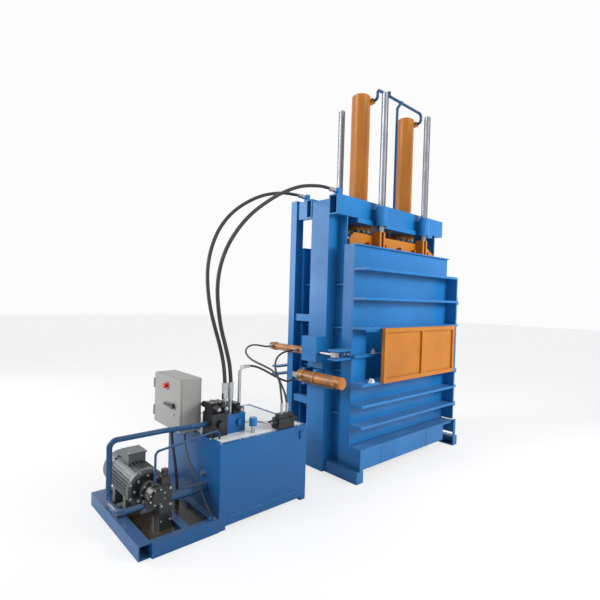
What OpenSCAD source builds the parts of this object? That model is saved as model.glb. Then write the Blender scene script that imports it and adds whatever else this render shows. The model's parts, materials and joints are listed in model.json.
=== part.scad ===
// Vertical baling press with its hydraulic power unit, in millimetres, +Z up.
// The origin is on the floor under the middle of the bale chamber.
// +X runs to the right along the front, and the feed door faces -Y.

/* [Chamber] */
// Clear width between the side walls
chamber_w = 1760; // [1600:10:1900]
// Clear depth between the two bale doors
chamber_d = 744; // [740:2:800]
// Height of the chamber floor
floor_top = 334; // [320:2:360]
// Height of the fixed panels over the bale doors
panel_h = 247; // [220:1:300]
// Thickness of the side walls
wall_t = 20; // [12:1:24]
// Thickness of the door skins and upper panels
skin_t = 16; // [10:1:20]
// Gap between a bale door and the walls it closes on
door_gap = 2; // [1:0.5:4]

/* [Columns and posts] */
// Depth of a corner post beside the wall
post_t = 50; // [40:2:60]
// Length of a front corner post along the wall
post_l = 130; // [100:5:160]
// Width of a side column across the press
column_d = 160; // [140:5:200]
// Front face of the side columns
column_front = -105; // [-112:1:-95]
// Length of a side column along the wall
column_l = 270; // [240:5:290]
// Plate thickness of columns, posts and beams
plate_t = 14; // [8:1:20]
// Rear post size across the press
rear_post_x = 110; // [90:5:140]
// Rear post size along the wall
rear_post_y = 96; // [80:2:110]
// First side-wall rib above the floor
wall_rib_first = 640; // [560:5:700]
// Spacing of the side-wall ribs
wall_rib_pitch = 468; // [420:2:500]

/* [Base] */
// Height of the foot channels
foot_h = 120; // [110:2:130]
// Width of the foot channels
foot_w = 102; // [90:2:120]
// Reach of the feet in front of and behind the middle
foot_reach = 573; // [560:1:620]
// Radius of the anchor holes
anchor_r = 12; // [8:0.5:16]
// Distance of the anchor holes from the middle of the press, along X
anchor_x = 975; // [960:1:985]
// Distance of the anchor holes from the middle of the press, along Y
anchor_y = 300; // [260:5:340]

/* [Bale doors] */
// Depth of the door ribs
rib_depth = 160; // [140:5:180]
// Thickness of the door ribs
rib_t = 28; // [20:1:34]
// Height of the top rib
top_rib = 2213; // [2190:1:2230]
// Spacing of the ribs above the feed door
upper_pitch = 310; // [300:1:320]
// Height of the rib under the feed door
feed_rib = 1000; // [980:1:1020]
// Spacing of the ribs below the feed door
lower_pitch = 222; // [200:1:230]
// Half width of the feed window
window_half = 712; // [600:2:740]
// Distance of the door hinges from the door edge
hinge_out = 60; // [56:1:70]
// Radius of the door hinge pins
hinge_r = 20; // [14:1:24]
// Wall of the eyes round the hinge pins
eye_wall = 16; // [10:1:18]
// Radial clearance of pins and running rods
run_gap = 0.05; // [0.03:0.01:0.1]

/* [Feed door] */
// Length of the feed door
feed_l = 1480; // [1400:10:1490]
// Left edge of the feed door as it stands partly open
feed_left = -660; // [-690:5:-640]
// Thickness of the feed door
feed_t = 44; // [36:1:50]
// Width of the feed door's rim
feed_rim = 46; // [30:2:70]
// Depth of the feed door's panels
feed_recess = 22; // [10:1:28]

/* [Crown and cylinders] */
// Half length of the crown beams
crown_half = 1069; // [1065:1:1090]
// Front face of the front crown beam
crown_front = -229; // [-240:1:-220]
// Rear face of the rear crown beam
crown_rear = 255; // [245:1:270]
// Underside of the crown beams
crown_bottom = 2797; // [2780:1:2830]
// Height of the crown beams
crown_h = 213; // [200:1:240]
// Thickness of the crown bed
bed_t = 55; // [40:1:60]
// Half spacing of the guide rods along X
guide_x = 440; // [420:2:470]
// Half spacing of the guide rods along Y
guide_y = 330; // [324:1:334]
// Radius of the guide rods
guide_r = 32; // [24:1:34]
// Height of the guide rods above the crown
guide_rise = 1225; // [1100:5:1250]
// Outer radius of the guide sleeves
sleeve_r = 65; // [50:1:70]
// Half spacing of the main cylinders
barrel_x = 457; // [440:1:480]
// Place of the main cylinders along Y
barrel_y = 10; // [0:1:20]
// Outer radius of the main barrels
barrel_r = 110; // [100:1:112]
// Bore radius of the main barrels
bore_r = 90; // [80:1:94]
// Radius of the piston rods
piston_rod_r = 60; // [40:1:70]
// Height of the barrels above the crown
barrel_rise = 1290; // [1250:5:1340]

/* [Platen] */
// Gap between the platen and the chamber walls
platen_gap = 10; // [6:1:20]
// Thickness of the platen's base plate
platen_t = 40; // [30:1:60]
// Height of the platen's webs
platen_web = 200; // [160:5:220]

/* [Clamps] */
// Height of the front clamp
front_clamp_z = 1311; // [1300:1:1320]
// Height of the rear clamp
rear_clamp_z = 1030; // [1020:1:1045]
// Distance of both clamps from the middle of the press
clamp_x = 1150; // [1150:1:1160]
// Radius of the front clamp cylinder
front_clamp_r = 42; // [36:1:46]
// Radius of the rear clamp cylinder
rear_clamp_r = 72; // [60:1:74]
// Radius of the front clamp rod
front_rod_r = 20; // [14:1:22]
// Radius of the rear clamp rod
rear_rod_r = 30; // [22:1:34]

/* [Power unit] */
// Left side of the skid
skid_left = -3195; // [-3230:5:-3180]
// Height of the skid beams
skid_h = 110; // [100:2:120]
// Left side of the oil tank
tank_left = -2560; // [-2570:2:-2550]
// Length of the oil tank
tank_l = 930; // [880:5:950]
// Front of the oil tank
tank_front = -450; // [-460:2:-440]
// Depth of the oil tank
tank_d = 930; // [880:5:960]
// Height of the oil tank under its lid
tank_h = 697; // [690:1:710]
// Thickness of the tank lid
lid_t = 8; // [6:1:12]
// Place of the motor's axis along X
motor_x = -3000; // [-3010:1:-2990]
// Height of the motor's axis
motor_z = 352; // [345:1:370]
// Radius of the motor's frame under its fins
motor_r = 132; // [125:1:140]
// Depth of the motor's fins
fin_h = 18; // [14:1:22]
// Number of the motor's fins
fin_count = 36; // [24:2:44]
// Radius of the motor shaft
shaft_r = 24; // [18:1:28]

/* [Cabinet] */
// Front face of the cabinet, which looks to -X
cabinet_face = -2700; // [-2710:1:-2690]
// Depth of the cabinet
cabinet_d = 180; // [160:2:220]
// Side of the cabinet nearest the front
cabinet_y = -50; // [-54:1:-46]
// Width of the cabinet
cabinet_w = 505; // [480:5:510]
// Height of the cabinet
cabinet_h = 450; // [420:5:480]
// Wall of the cabinet
cabinet_t = 4; // [2:0.5:5]
// Thickness of the cabinet door
cabinet_door_t = 16; // [12:1:20]

/* [Cords] */
// Diameter of the main hoses
main_hose_d = 34; // [28:1:38]
// Diameter of the clamp hoses
clamp_hose_d = 20; // [16:1:24]
// Diameter of the cabinet cable
cable_d = 14; // [10:1:16]
// Diameter of the motor cable in its conduit
motor_cable_d = 24; // [18:1:28]

/* [Hidden] */
$fn = 48;

blue = [0.13, 0.36, 0.65];
orange = [0.86, 0.48, 0.16];
steel = [0.75, 0.76, 0.78];
dark = [0.16, 0.17, 0.18];
grey = [0.58, 0.58, 0.57];
pale = [0.85, 0.85, 0.84];
brown = [0.2, 0.15, 0.1];

// Planes of the chamber, walls and doors
wall_in = chamber_w / 2;
side_x = wall_in + wall_t;
door_half = side_x + post_t;
door_in = chamber_d / 2;
wall_end = door_in - door_gap;
skin_out = door_in + skin_t;
rib_out = skin_out + rib_depth;
column_out = side_x + column_d;
column_rear = column_front + column_l;
post_rear = wall_end - post_l;
rear_post_front = wall_end + 34;
rear_post_back = rear_post_front + rear_post_y;
rear_post_out = column_out + 20;
rear_post_in = rear_post_out - rear_post_x;
rear_post_top = crown_bottom + crown_h + 10;
column_top = crown_bottom + crown_h - 35;

// Rib levels, from the top
door_bottom = floor_top + 6;
door_top = top_rib + rib_t / 2;
panel_gap = 6;
wall_top = door_top + panel_gap + panel_h;
upper_ribs = [for (i = [0:2]) top_rib - i * upper_pitch];
lower_ribs = [for (i = [0:2]) feed_rib - i * lower_pitch];
rib_levels = concat(upper_ribs, lower_ribs);
feed_top_rib = upper_ribs[2];
mid_bar_z = (feed_top_rib + feed_rib) / 2 - 10;
mid_bar_depth = 42;
jamb_t = 20;

// Hinges of the bale doors
hinge_x = door_half + hinge_out;
front_hinge_y = -(rib_out - 48);
rear_hinge_y = rear_post_back + 45;
eye_r = hinge_r + eye_wall;
lug_gap = 0.3;
arm_t = 24;
arm_levels = [rib_levels[1], rib_levels[3], rib_levels[5]];
pin_low = rib_levels[5] - 60;
pin_high = rib_levels[1] + 40;

// Feed door
feed_back = rib_out + 8;
feed_front = feed_back + feed_t;
feed_low = feed_rib + 3;
feed_high = feed_top_rib;
shoe_w = 60;
shoe_places = [feed_left + 100, feed_left + 700];
strip_y = rib_out - 20;
strip_t = 12;
strip_low = feed_top_rib - rib_t / 2 - 24;

// Crown, cylinders and platen
crown_top = crown_bottom + crown_h;
bed_low = crown_bottom - bed_t;
bed_half_x = 764;
bed_front = crown_front - 30;
bed_rear = crown_rear + 10;
sleeve_top = crown_top - 60;
barrel_top = crown_top + barrel_rise;
cap_t = 34;
cap_edge = 12;
port_x = 80;
port_half = 26;
port_drop = 60;
port_face = -118;
gland_t = 70;
flange_t = 40;
flange_r = barrel_r + 45;
foot_top = bed_low - flange_t - 32;
platen_top = foot_top - 40;
platen_low = platen_top - platen_web - platen_t;
platen_x = wall_in - platen_gap;
platen_y = wall_end - platen_gap - 5;
guide_top = crown_top + guide_rise;
piston_t = 120;
foot_block = 100;

// Clamps
clamp_box_front = -105;
clamp_box_rear = 120;
clamp_box_low = front_clamp_z - 181;
clamp_box_high = front_clamp_z + 169;
clamp_box_out = clamp_x + 50;
front_barrel_end = 714;
fork_gap = 35;
fork_t = 20;
rear_barrel_front = -500;
rear_barrel_end = 150;
front_clevis_y = -337;
rear_clevis_y = 250;

// Power unit
skid_w = 90;
skid_front = -430;
skid_rear = 650;
beam_w = 60;
front_beam_y = tank_front - 6;
tank_right = tank_left + tank_l;
tank_rear = tank_front + tank_d;
lid_top = tank_h + lid_t;
divider_x = -2850;
motor_front = -50;
motor_rear = 390;
cowl_rear = 510;
cowl_r = motor_r + 12;
stator_r = motor_r - 34;
rotor_r = stator_r - 3;
bell_front = -170;
pump_front = -290;
pump_half = 82;
suction_z = motor_z - 52;
suction_r = 38;
suction_y = -235;
port_z = motor_z - 60;
pump_r = 68;
pump_block = [motor_x + 20, motor_x + 120];
pump_block_front = -280;
tray_t = 6;
tray_top = skid_h - 30;
pipe_r = 21;
pipe_x = -3268;

// Cabinet
cabinet_low = lid_top + 15;
cabinet_top = cabinet_low + cabinet_h;
cabinet_back = cabinet_face + cabinet_d;
cabinet_end = cabinet_y + cabinet_w;
door_out = cabinet_face - 2 - cabinet_door_t;
hinge_pin_y = cabinet_end + 8;
hinge_pin_r = 4;
knuckle_r = 8;
knuckle_l = 60;
knuckle_places = [cabinet_low + 70, cabinet_top - 130];
handle_y = cabinet_y + 110;
handle_z = cabinet_low + 210;
handle_r = 9;
button_y = cabinet_y + 250;
button_z = cabinet_low + 365;
button_r = 10;
gland_r = 14;

// Routes of the cords, points chosen by hand
main_rear_route = [[-2380, -200, 1050], [-2380, -200, 1140], [-2385, -180, 1290], [-2405, -145, 1450],
    [-2435, -105, 1610], [-2458, -60, 1780], [-2462, -15, 1960], [-2440, 30, 2140], [-2380, 75, 2320],
    [-2280, 120, 2500], [-2130, 165, 2670], [-1930, 205, 2820], [-1690, 245, 2945], [-1430, 275, 3025],
    [-1210, 290, 3050], [-1090, 290, 3050]];
main_front_route = [[-2320, -200, 1050], [-2320, -200, 1140], [-2338, -200, 1290], [-2382, -200, 1450],
    [-2430, -200, 1610], [-2462, -200, 1780], [-2475, -200, 1950], [-2455, -200, 2120], [-2395, -200, 2290],
    [-2295, -200, 2455], [-2160, -200, 2610], [-1990, -200, 2750], [-1790, -200, 2880], [-1560, -200, 2985],
    [-1300, -200, 3040], [-1095, -200, 3040]];
rear_port_route = [[-1215, 640, 1311], [-1290, 640, 1311], [-1390, 610, 1328], [-1490, 560, 1346],
    [-1590, 500, 1356], [-1690, 430, 1354], [-1780, 350, 1338], [-1845, 260, 1310], [-1870, 160, 1272],
    [-1858, 60, 1240], [-1835, -50, 1212], [-1815, -160, 1175], [-1830, -265, 1108], [-1872, -348, 1012],
    [-1900, -400, 930], [-1900, -400, 880]];
front_port_route = [[-1215, 190, 1311], [-1290, 190, 1311], [-1380, 175, 1306], [-1470, 145, 1292],
    [-1555, 100, 1268], [-1625, 45, 1236], [-1680, -15, 1200], [-1720, -80, 1160], [-1750, -150, 1118],
    [-1775, -220, 1074], [-1800, -292, 1030], [-1819, -342, 995], [-1832, -374, 960], [-1838, -392, 930],
    [-1840, -400, 905], [-1840, -400, 880]];
riser_route = [[-2180, -200, 1260], [-2110, -200, 1260], [-2035, -190, 1242], [-1960, -175, 1212],
    [-1885, -155, 1178], [-1810, -130, 1142], [-1735, -105, 1108], [-1660, -80, 1076], [-1590, -50, 1050],
    [-1525, -20, 1031], [-1465, 15, 1021], [-1405, 50, 1020], [-1355, 74, 1026], [-1315, 80, 1030],
    [-1270, 80, 1030]];
cable_route = [[-2630, 20, 690], [-2630, 20, 645], [-2636, 0, 600], [-2645, -36, 560], [-2654, -82, 522],
    [-2661, -132, 488], [-2665, -184, 456], [-2667, -236, 422], [-2667, -284, 384], [-2665, -324, 342],
    [-2661, -356, 300], [-2655, -382, 258], [-2647, -404, 218], [-2638, -418, 196], [-2632, -425, 170],
    [-2632, -425, 145]];
motor_cable_route = [[-2670, 190, 690], [-2670, 190, 650], [-2670, 184, 612], [-2670, 172, 572], [-2670, 157, 532],
    [-2670, 141, 492], [-2670, 125, 452], [-2670, 110, 412], [-2670, 96, 372], [-2670, 84, 332], [-2670, 75, 292],
    [-2670, 68, 252], [-2670, 64, 212], [-2670, 62, 172], [-2670, 62, 140], [-2670, 62, 112]];

// Block between two corners
module block(low, high) {
    translate(low) cube(high - low);
}

// The child and its mirror image on the other side of the press
module both_sides() {
    children();
    mirror([1, 0, 0]) children();
}

// Round bar between two points
module round_bar(from, to, r) {
    d = to - from;
    translate(from)
        rotate([0, acos(d[2] / norm(d)), atan2(d[1], d[0])])
            cylinder(r = r, h = norm(d));
}

// Round pipe along straight runs, which seat in elbows of one bend radius
elbow_wall = 1;
elbow_seat = 3;
function bend_cut(d, i, bend) = i < 1 || i > len(d) - 1 ? 0 : bend * tan(acos(d[i - 1] * d[i]) / 2);
function run_end(d, i, bend) = i < 1 || i > len(d) - 1 ? 0 : bend_cut(d, i, bend) - elbow_seat;
module pipe_run(points, r, bend) {
    last = len(points) - 2;
    d = [for (i = [0 : last]) unit(points[i + 1] - points[i])];
    for (i = [0 : last])
        round_bar(points[i] + d[i] * run_end(d, i, bend), points[i + 1] - d[i] * run_end(d, i + 1, bend), r);
    for (i = [1 : last]) {
        start = points[i] - d[i - 1] * bend_cut(d, i, bend);
        axis = unit(cross(d[i - 1], d[i]));
        outward = cross(d[i - 1], axis);
        place_in(outward, d[i - 1], axis, start - outward * bend)
            rotate_extrude(angle = acos(d[i - 1] * d[i])) translate([bend, 0]) circle(r = r + elbow_wall);
    }
}

// The child in a frame of three axes and an origin
module place_in(x, y, z, at) {
    multmatrix([[x[0], y[0], z[0], at[0]], [x[1], y[1], z[1], at[1]], [x[2], y[2], z[2], at[2]]]) children();
}

// Round piece along Y, from y0 to y1
module along_y(x, z, y0, y1, r) {
    translate([x, y1, z]) rotate([90, 0, 0]) cylinder(r = r, h = y1 - y0);
}

// Round piece along X, from x0 to x1
module along_x(y, z, x0, x1, r) {
    translate([x0, y, z]) rotate([0, 90, 0]) cylinder(r = r, h = x1 - x0);
}

// Round piece along Z
module upright(x, y, z0, z1, r) {
    translate([x, y, z0]) cylinder(r = r, h = z1 - z0);
}

// Rectangular tube along X with open ends
module tube_x(low, high, t) {
    difference() {
        block(low, high);
        block([low[0] - 1, low[1] + t, low[2] + t], [high[0] + 1, high[1] - t, high[2] - t]);
    }
}

// Cord swept along its route, one ring of points at each route point
cord_sides = 10;
function unit(v) = v / norm(v);
function tangent(p, i) = unit(p[min(i + 1, len(p) - 1)] - p[max(i - 1, 0)]);
function side_of(t) = unit(cross(abs(t[2]) > 0.9 ? [0, 1, 0] : [0, 0, 1], t));
function carried(p, i) = i == 0 ? side_of(tangent(p, 0)) :
    let (t = tangent(p, i), s = carried(p, i - 1)) unit(s - t * (s * t));
function ring(p, i, r) = let (t = tangent(p, i), s = carried(p, i), u = cross(t, s))
    [for (k = [0 : cord_sides - 1]) p[i] + r * (cos(k * 360 / cord_sides) * s + sin(k * 360 / cord_sides) * u)];
module cord(p, d) {
    n = len(p);
    m = cord_sides;
    points = [for (i = [0 : n - 1]) each ring(p, i, d / 2)];
    sides = [for (i = [0 : n - 2]) for (k = [0 : m - 1])
        each [[i * m + k, i * m + (k + 1) % m, (i + 1) * m + k],
            [i * m + (k + 1) % m, (i + 1) * m + (k + 1) % m, (i + 1) * m + k]]];
    ends = [[for (k = [m - 1 : -1 : 0]) k], [for (k = [0 : m - 1]) (n - 1) * m + k]];
    polyhedron(points = points, faces = [for (f = concat(sides, ends)) [for (k = [len(f) - 1 : -1 : 0]) f[k]]]);
}

// Foot channels, open to the inside, closed at the outer end and drilled for anchors
module foot_piece(y0, y1, end_y) {
    x0 = anchor_x - 50;
    x1 = x0 + foot_w;
    difference() {
        block([x0, y0, 0], [x1, y1, foot_h]);
        block([x0 - 1, y0 - 1, plate_t], [x1 - plate_t, y1 + 1, foot_h - plate_t]);
        translate([anchor_x, y0 < 0 ? -anchor_y : anchor_y, -1]) cylinder(r = anchor_r, h = plate_t + 2);
    }
    block([x0, end_y, 0], [x1, end_y + plate_t, foot_h]);
}
module foot_channels() {
    color(blue) both_sides() {
        foot_piece(-foot_reach, column_front, -foot_reach);
        foot_piece(column_rear, foot_reach, foot_reach - plate_t);
    }
}

// Base frame: front and rear ledges, skirts and the webs that carry the floor
web_y = door_in - 72;
skirt_right = 700;
module base_side(sign, x0, x1) {
    y_out = sign * rib_out;
    y_in = sign * wall_end;
    ledge_low = floor_top - rib_t;
    skirt_in = sign * (rib_out - skin_t);
    block([-door_half, min(y_in, y_out), ledge_low], [door_half, max(y_in, y_out), floor_top]);
    block([x0, min(skirt_in, y_out), foot_h], [x1, max(skirt_in, y_out), ledge_low]);
    block([-wall_in, sign * web_y - plate_t / 2, foot_h], [wall_in, sign * web_y + plate_t / 2, ledge_low]);
    for (x = [x0, (x0 + x1) / 2, x1 - plate_t])
        let (y_root = sign * (abs(x) > wall_in ? wall_end : web_y))
            block([x, min(y_root, skirt_in), foot_h], [x + plate_t, max(y_root, skirt_in), ledge_low]);
}
module base_frame() {
    color(blue) {
        base_side(-1, -door_half, skirt_right);
        base_side(1, -skirt_right, skirt_right);
        for (x = [-skirt_right, 0, skirt_right])
            block([x - plate_t / 2, -web_y, foot_h], [x + plate_t / 2, web_y, floor_top - rib_t]);
        both_sides()
            block([anchor_x - 45, -foot_reach, foot_h], [anchor_x + 5, -foot_reach + plate_t, floor_top + 14]);
        both_sides()
            block([anchor_x - 45, -foot_reach, floor_top - rib_t], [anchor_x - 25, -rib_out, floor_top]);
    }
}

module chamber_floor() {
    color(blue) difference() {
        block([-wall_in, -wall_end, floor_top - rib_t], [wall_in, wall_end, floor_top]);
        for (i = [-2:2])
            block([i * 330 - 12, -wall_end - 1, floor_top - 12], [i * 330 + 12, wall_end + 1, floor_top + 1]);
    }
}

// Side wall with its raised middle under the crown and its horizontal ribs
knee_front = crown_front + 10;
knee_rear = crown_rear - 10;
module side_wall() {
    block([wall_in, -wall_end, foot_h], [side_x, wall_end, wall_top]);
    block([wall_in, knee_front, wall_top], [side_x, knee_rear, crown_bottom]);
    block([side_x, wall_end - plate_t, foot_h], [rear_post_in + plate_t, wall_end, wall_top]);
    for (i = [0:3]) let (z = wall_rib_first + i * wall_rib_pitch) {
        block([side_x, -post_rear, z], [door_half, column_front, z + plate_t]);
        block([side_x, column_rear, z], [door_half, wall_end, z + plate_t]);
    }
}
module side_walls() {
    color(blue) both_sides() side_wall();
}

module front_posts() {
    color(blue) both_sides() difference() {
        block([side_x, -wall_end, foot_h], [door_half, -post_rear, wall_top]);
        block([side_x - 1, -wall_end + plate_t, floor_top], [door_half - plate_t, -post_rear + 1, wall_top - plate_t]);
    }
}

module rear_posts() {
    color(blue) both_sides() difference() {
        block([rear_post_in, rear_post_front, foot_h], [rear_post_out, rear_post_back, rear_post_top]);
        block([rear_post_in + plate_t, rear_post_front + plate_t, foot_h - 1],
            [rear_post_out - plate_t, rear_post_back - plate_t, rear_post_top - plate_t]);
    }
}

// Tie beams at the top and lower down join the rear posts to the columns
tie_in = rear_post_in + 16;
tie_out = rear_post_out - 20;
module tie_beams() {
    color(blue) {
        both_sides() {
            block([tie_in, crown_rear, crown_bottom + 3], [tie_out, rear_post_front, crown_top - 10]);
            for (z = [wall_rib_first, wall_rib_first + 2 * wall_rib_pitch])
                block([tie_in, column_rear, z + plate_t + 40], [tie_out, rear_post_front, z + plate_t + 120]);
        }
        block([-tie_out + 10, 262, crown_top - 10], [-tie_in - 20, 318, crown_top + 70]);
        along_x(290, crown_top + 40, -1090, -tie_out + 10, main_hose_d / 2 + 6);
    }
}

module column() {
    difference() {
        block([side_x, column_front, 0], [column_out, column_rear, column_top]);
        block([side_x + plate_t, column_front + plate_t, plate_t],
            [column_out - plate_t, column_rear - plate_t, column_top - plate_t]);
    }
}
module side_columns() {
    color(blue) both_sides() column();
}

// Fixed panels over the bale doors, each with a flange along its top
front_flange = 30;
rear_flange = 10;
module top_panels() {
    color(blue) {
        block([-door_half, -skin_out, door_top + panel_gap], [door_half, -wall_end, wall_top]);
        block([-door_half, -skin_out - front_flange, wall_top - plate_t], [door_half, -skin_out, wall_top]);
        block([-door_half, wall_end, door_top + panel_gap], [door_half, skin_out, wall_top]);
        block([-door_half, skin_out, wall_top - plate_t], [door_half, skin_out + rear_flange, wall_top]);
    }
}

// Crown beams, open at both ends, with the front hose port
module crown_beams() {
    color(blue) {
        tube_x([-crown_half, column_rear, crown_bottom], [crown_half, crown_rear, crown_top], plate_t);
        tube_x([-crown_half, crown_front, crown_bottom], [crown_half, column_front, crown_top], plate_t);
        block([-1060, -225, crown_top], [-1010, -175, crown_top + 60]);
        along_x(-200, crown_top + 30, -1095, -1060, main_hose_d / 2 + 6);
    }
}

// Crown bed, bored for both barrels, with end plates that close the crown over the chamber
module crown_bed() {
    color(blue) difference() {
        block([-bed_half_x, bed_front, bed_low], [bed_half_x, bed_rear, crown_bottom]);
        both_sides() upright(barrel_x, barrel_y, bed_low - 1, crown_bottom + 1, barrel_r + run_gap);
    }
}

// Guide sleeves in front of and behind the crown, each with a web to its beam
module guide_sleeve(sx, sy, beam_y) {
    difference() {
        union() {
            upright(sx * guide_x, sy * guide_y, bed_low - 12, sleeve_top, sleeve_r);
            block([sx * guide_x - 16, min(sy * guide_y, beam_y), crown_bottom],
                [sx * guide_x + 16, max(sy * guide_y, beam_y), sleeve_top - 20]);
        }
        upright(sx * guide_x, sy * guide_y, bed_low - 20, sleeve_top + 1, guide_r + run_gap);
    }
}
module guide_sleeves() {
    color(blue) for (sx = [-1, 1]) {
        guide_sleeve(sx, -1, crown_front);
        guide_sleeve(sx, 1, crown_rear);
    }
}

// Main cylinder: barrel, top cap with its port, gland and the flange under the crown bed
module main_cylinder(sx) {
    x = sx * barrel_x;
    translate([x, barrel_y, 0]) difference() {
        union() {
            translate([0, 0, bed_low - flange_t]) cylinder(r = flange_r, h = flange_t);
            translate([0, 0, bed_low]) cylinder(r = barrel_r, h = barrel_top - cap_edge - bed_low);
            translate([0, 0, barrel_top - cap_edge]) cylinder(r1 = barrel_r, r2 = barrel_r - cap_edge, h = cap_edge);
            block([port_x - port_half, port_face - barrel_y, barrel_top - port_drop - port_half],
                [port_x + port_half, 0, barrel_top - port_drop + port_half]);
        }
        translate([0, 0, bed_low - flange_t + gland_t])
            cylinder(r = bore_r, h = barrel_top - cap_t - bed_low + flange_t - gland_t);
        translate([0, 0, bed_low - flange_t - 1]) cylinder(r = piston_rod_r + run_gap, h = gland_t + 2);
    }
}
module left_main_cylinder() {
    color(orange) main_cylinder(-1);
}
module right_main_cylinder() {
    color(orange) main_cylinder(1);
}

// Crossover pipe between the barrels' front ports, with a bleed plug and a branch down to the crown
crossover_r = 17;
crossover_y = port_face - 52;
module crossover_pipe() {
    z = barrel_top + 52;
    low = barrel_top - port_drop;
    left = port_x - barrel_x;
    right = port_x + barrel_x;
    tee_x = 90;
    branch_x = 15;
    color(blue) {
        pipe_run([[left, port_face, low], [left, crossover_y, low], [left, crossover_y, z],
            [right, crossover_y, z], [right, crossover_y, low], [right, port_face, low]], crossover_r, 40);
        translate([tee_x, crossover_y, z]) sphere(r = crossover_r + 8);
        upright(tee_x - 250, crossover_y, z, z + 48, crossover_r + 5);
        pipe_run([[tee_x, crossover_y, z], [branch_x, crossover_y, z - 94],
            [branch_x, crossover_y, crown_top]], crossover_r, 60);
    }
}

// Hinge plate: an arm from a flat face to the eye round the pin
module hinge_plate(outline, x, y, z, t, bore) {
    translate([0, 0, z]) linear_extrude(height = t) difference() {
        union() {
            polygon(outline);
            translate([x, y]) circle(r = eye_r);
        }
        translate([x, y]) circle(r = bore);
    }
}
module hinge_arms() {
    front = [[door_half, -post_rear - 10], [door_half, -wall_end + 8], [hinge_x - eye_r + 1, front_hinge_y],
        [hinge_x + eye_r - 1, front_hinge_y]];
    rear = [[hinge_x - eye_r + 1, rear_hinge_y], [hinge_x - eye_r + 1, rear_post_back],
        [hinge_x + eye_r + 20, rear_post_back], [hinge_x + eye_r - 1, rear_hinge_y]];
    color(blue) for (level = arm_levels) let (z = level - rib_t / 2 - lug_gap - arm_t) {
        hinge_plate(front, hinge_x, front_hinge_y, z, arm_t, hinge_r);
        hinge_plate(rear, hinge_x, rear_hinge_y, z, arm_t, hinge_r);
    }
}
module hinge_pins() {
    color(steel) for (y = [front_hinge_y, rear_hinge_y]) {
        upright(hinge_x, y, pin_low, pin_high, hinge_r);
        upright(hinge_x, y, pin_high, pin_high + 14, hinge_r + 8);
    }
}

// Front clamp on the left column
module front_clamp_box() {
    color(blue) difference() {
        block([-clamp_box_out, clamp_box_front, clamp_box_low], [-column_out, clamp_box_rear, clamp_box_high]);
        along_y(-clamp_x, front_clamp_z, clamp_box_front - 1, clamp_box_rear + 1, front_rod_r + run_gap);
        block([-clamp_box_out - 1, clamp_box_front - 1, clamp_box_low - 1],
            [-column_out - 40, clamp_box_rear + 1, front_clamp_z - 100]);
    }
}
module front_clamp_cylinder() {
    inner = front_clamp_r - 10;
    color(orange) difference() {
        union() {
            along_y(-clamp_x, front_clamp_z, clamp_box_rear, front_barrel_end, front_clamp_r);
            along_y(-clamp_x, front_clamp_z, front_barrel_end - 100, front_barrel_end - 40, front_clamp_r + 6);
            along_y(-clamp_x, front_clamp_z, clamp_box_rear, clamp_box_rear + 30, front_clamp_r + 6);
            for (y = [190, 640]) along_x(y, front_clamp_z, -1215, -clamp_x, 16);
        }
        along_y(-clamp_x, front_clamp_z, clamp_box_rear - 1, clamp_box_rear + 50, front_rod_r + run_gap);
        along_y(-clamp_x, front_clamp_z, clamp_box_rear + 49, front_barrel_end - 30, inner);
    }
}
module front_clamp_rod() {
    inner = front_clamp_r - 10 - run_gap;
    color(steel) difference() {
        union() {
            along_y(-clamp_x, front_clamp_z, front_clevis_y + 30, clamp_box_rear + 280, front_rod_r);
            along_y(-clamp_x, front_clamp_z, clamp_box_rear + 230, clamp_box_rear + 280, inner);
            block([-clamp_x - 26, front_clevis_y - 30, front_clamp_z - 26],
                [-clamp_x + 26, front_clevis_y + 40, front_clamp_z + 26]);
        }
        upright(-clamp_x, front_clevis_y, front_clamp_z - 40, front_clamp_z + 40, 10);
    }
}

// Rear clamp on the left column, with its rod towards the rear
module rear_clamp_saddles() {
    color(blue) difference() {
        for (y = [column_front + 20, column_rear - 70])
            block([-clamp_x - 20, y, rear_clamp_z - rear_clamp_r - 20],
                [-column_out, y + 50, rear_clamp_z + rear_clamp_r + 20]);
        along_y(-clamp_x, rear_clamp_z, rear_barrel_front, rear_barrel_end + 40, rear_clamp_r + run_gap);
    }
}
module rear_clamp_cylinder() {
    inner = rear_clamp_r - 14;
    color(orange) difference() {
        union() {
            along_y(-clamp_x, rear_clamp_z, rear_barrel_front, rear_barrel_end, rear_clamp_r);
            along_y(-clamp_x, rear_clamp_z, rear_barrel_front - 10, rear_barrel_front + 40, rear_clamp_r + 8);
            along_y(-clamp_x, rear_clamp_z, rear_barrel_end, rear_barrel_end + 30, rear_clamp_r + 8);
            for (y = [-440, 80]) along_x(y, rear_clamp_z, -1270, -clamp_x, 16);
        }
        along_y(-clamp_x, rear_clamp_z, rear_barrel_end - 60, rear_barrel_end + 40, rear_rod_r + run_gap);
        along_y(-clamp_x, rear_clamp_z, rear_barrel_front + 30, rear_barrel_end - 59, inner);
    }
}
module rear_clamp_rod() {
    inner = rear_clamp_r - 14 - run_gap;
    piston_y = rear_barrel_front + 60;
    color(steel) difference() {
        union() {
            along_y(-clamp_x, rear_clamp_z, piston_y, rear_clevis_y - 20, rear_rod_r);
            along_y(-clamp_x, rear_clamp_z, piston_y, piston_y + 60, inner);
            block([-clamp_x - 30, rear_clevis_y - 40, rear_clamp_z - 28],
                [-clamp_x + 30, rear_clevis_y + 35, rear_clamp_z + 28]);
        }
        upright(-clamp_x, rear_clevis_y, rear_clamp_z - 40, rear_clamp_z + 40, 12);
    }
}

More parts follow.
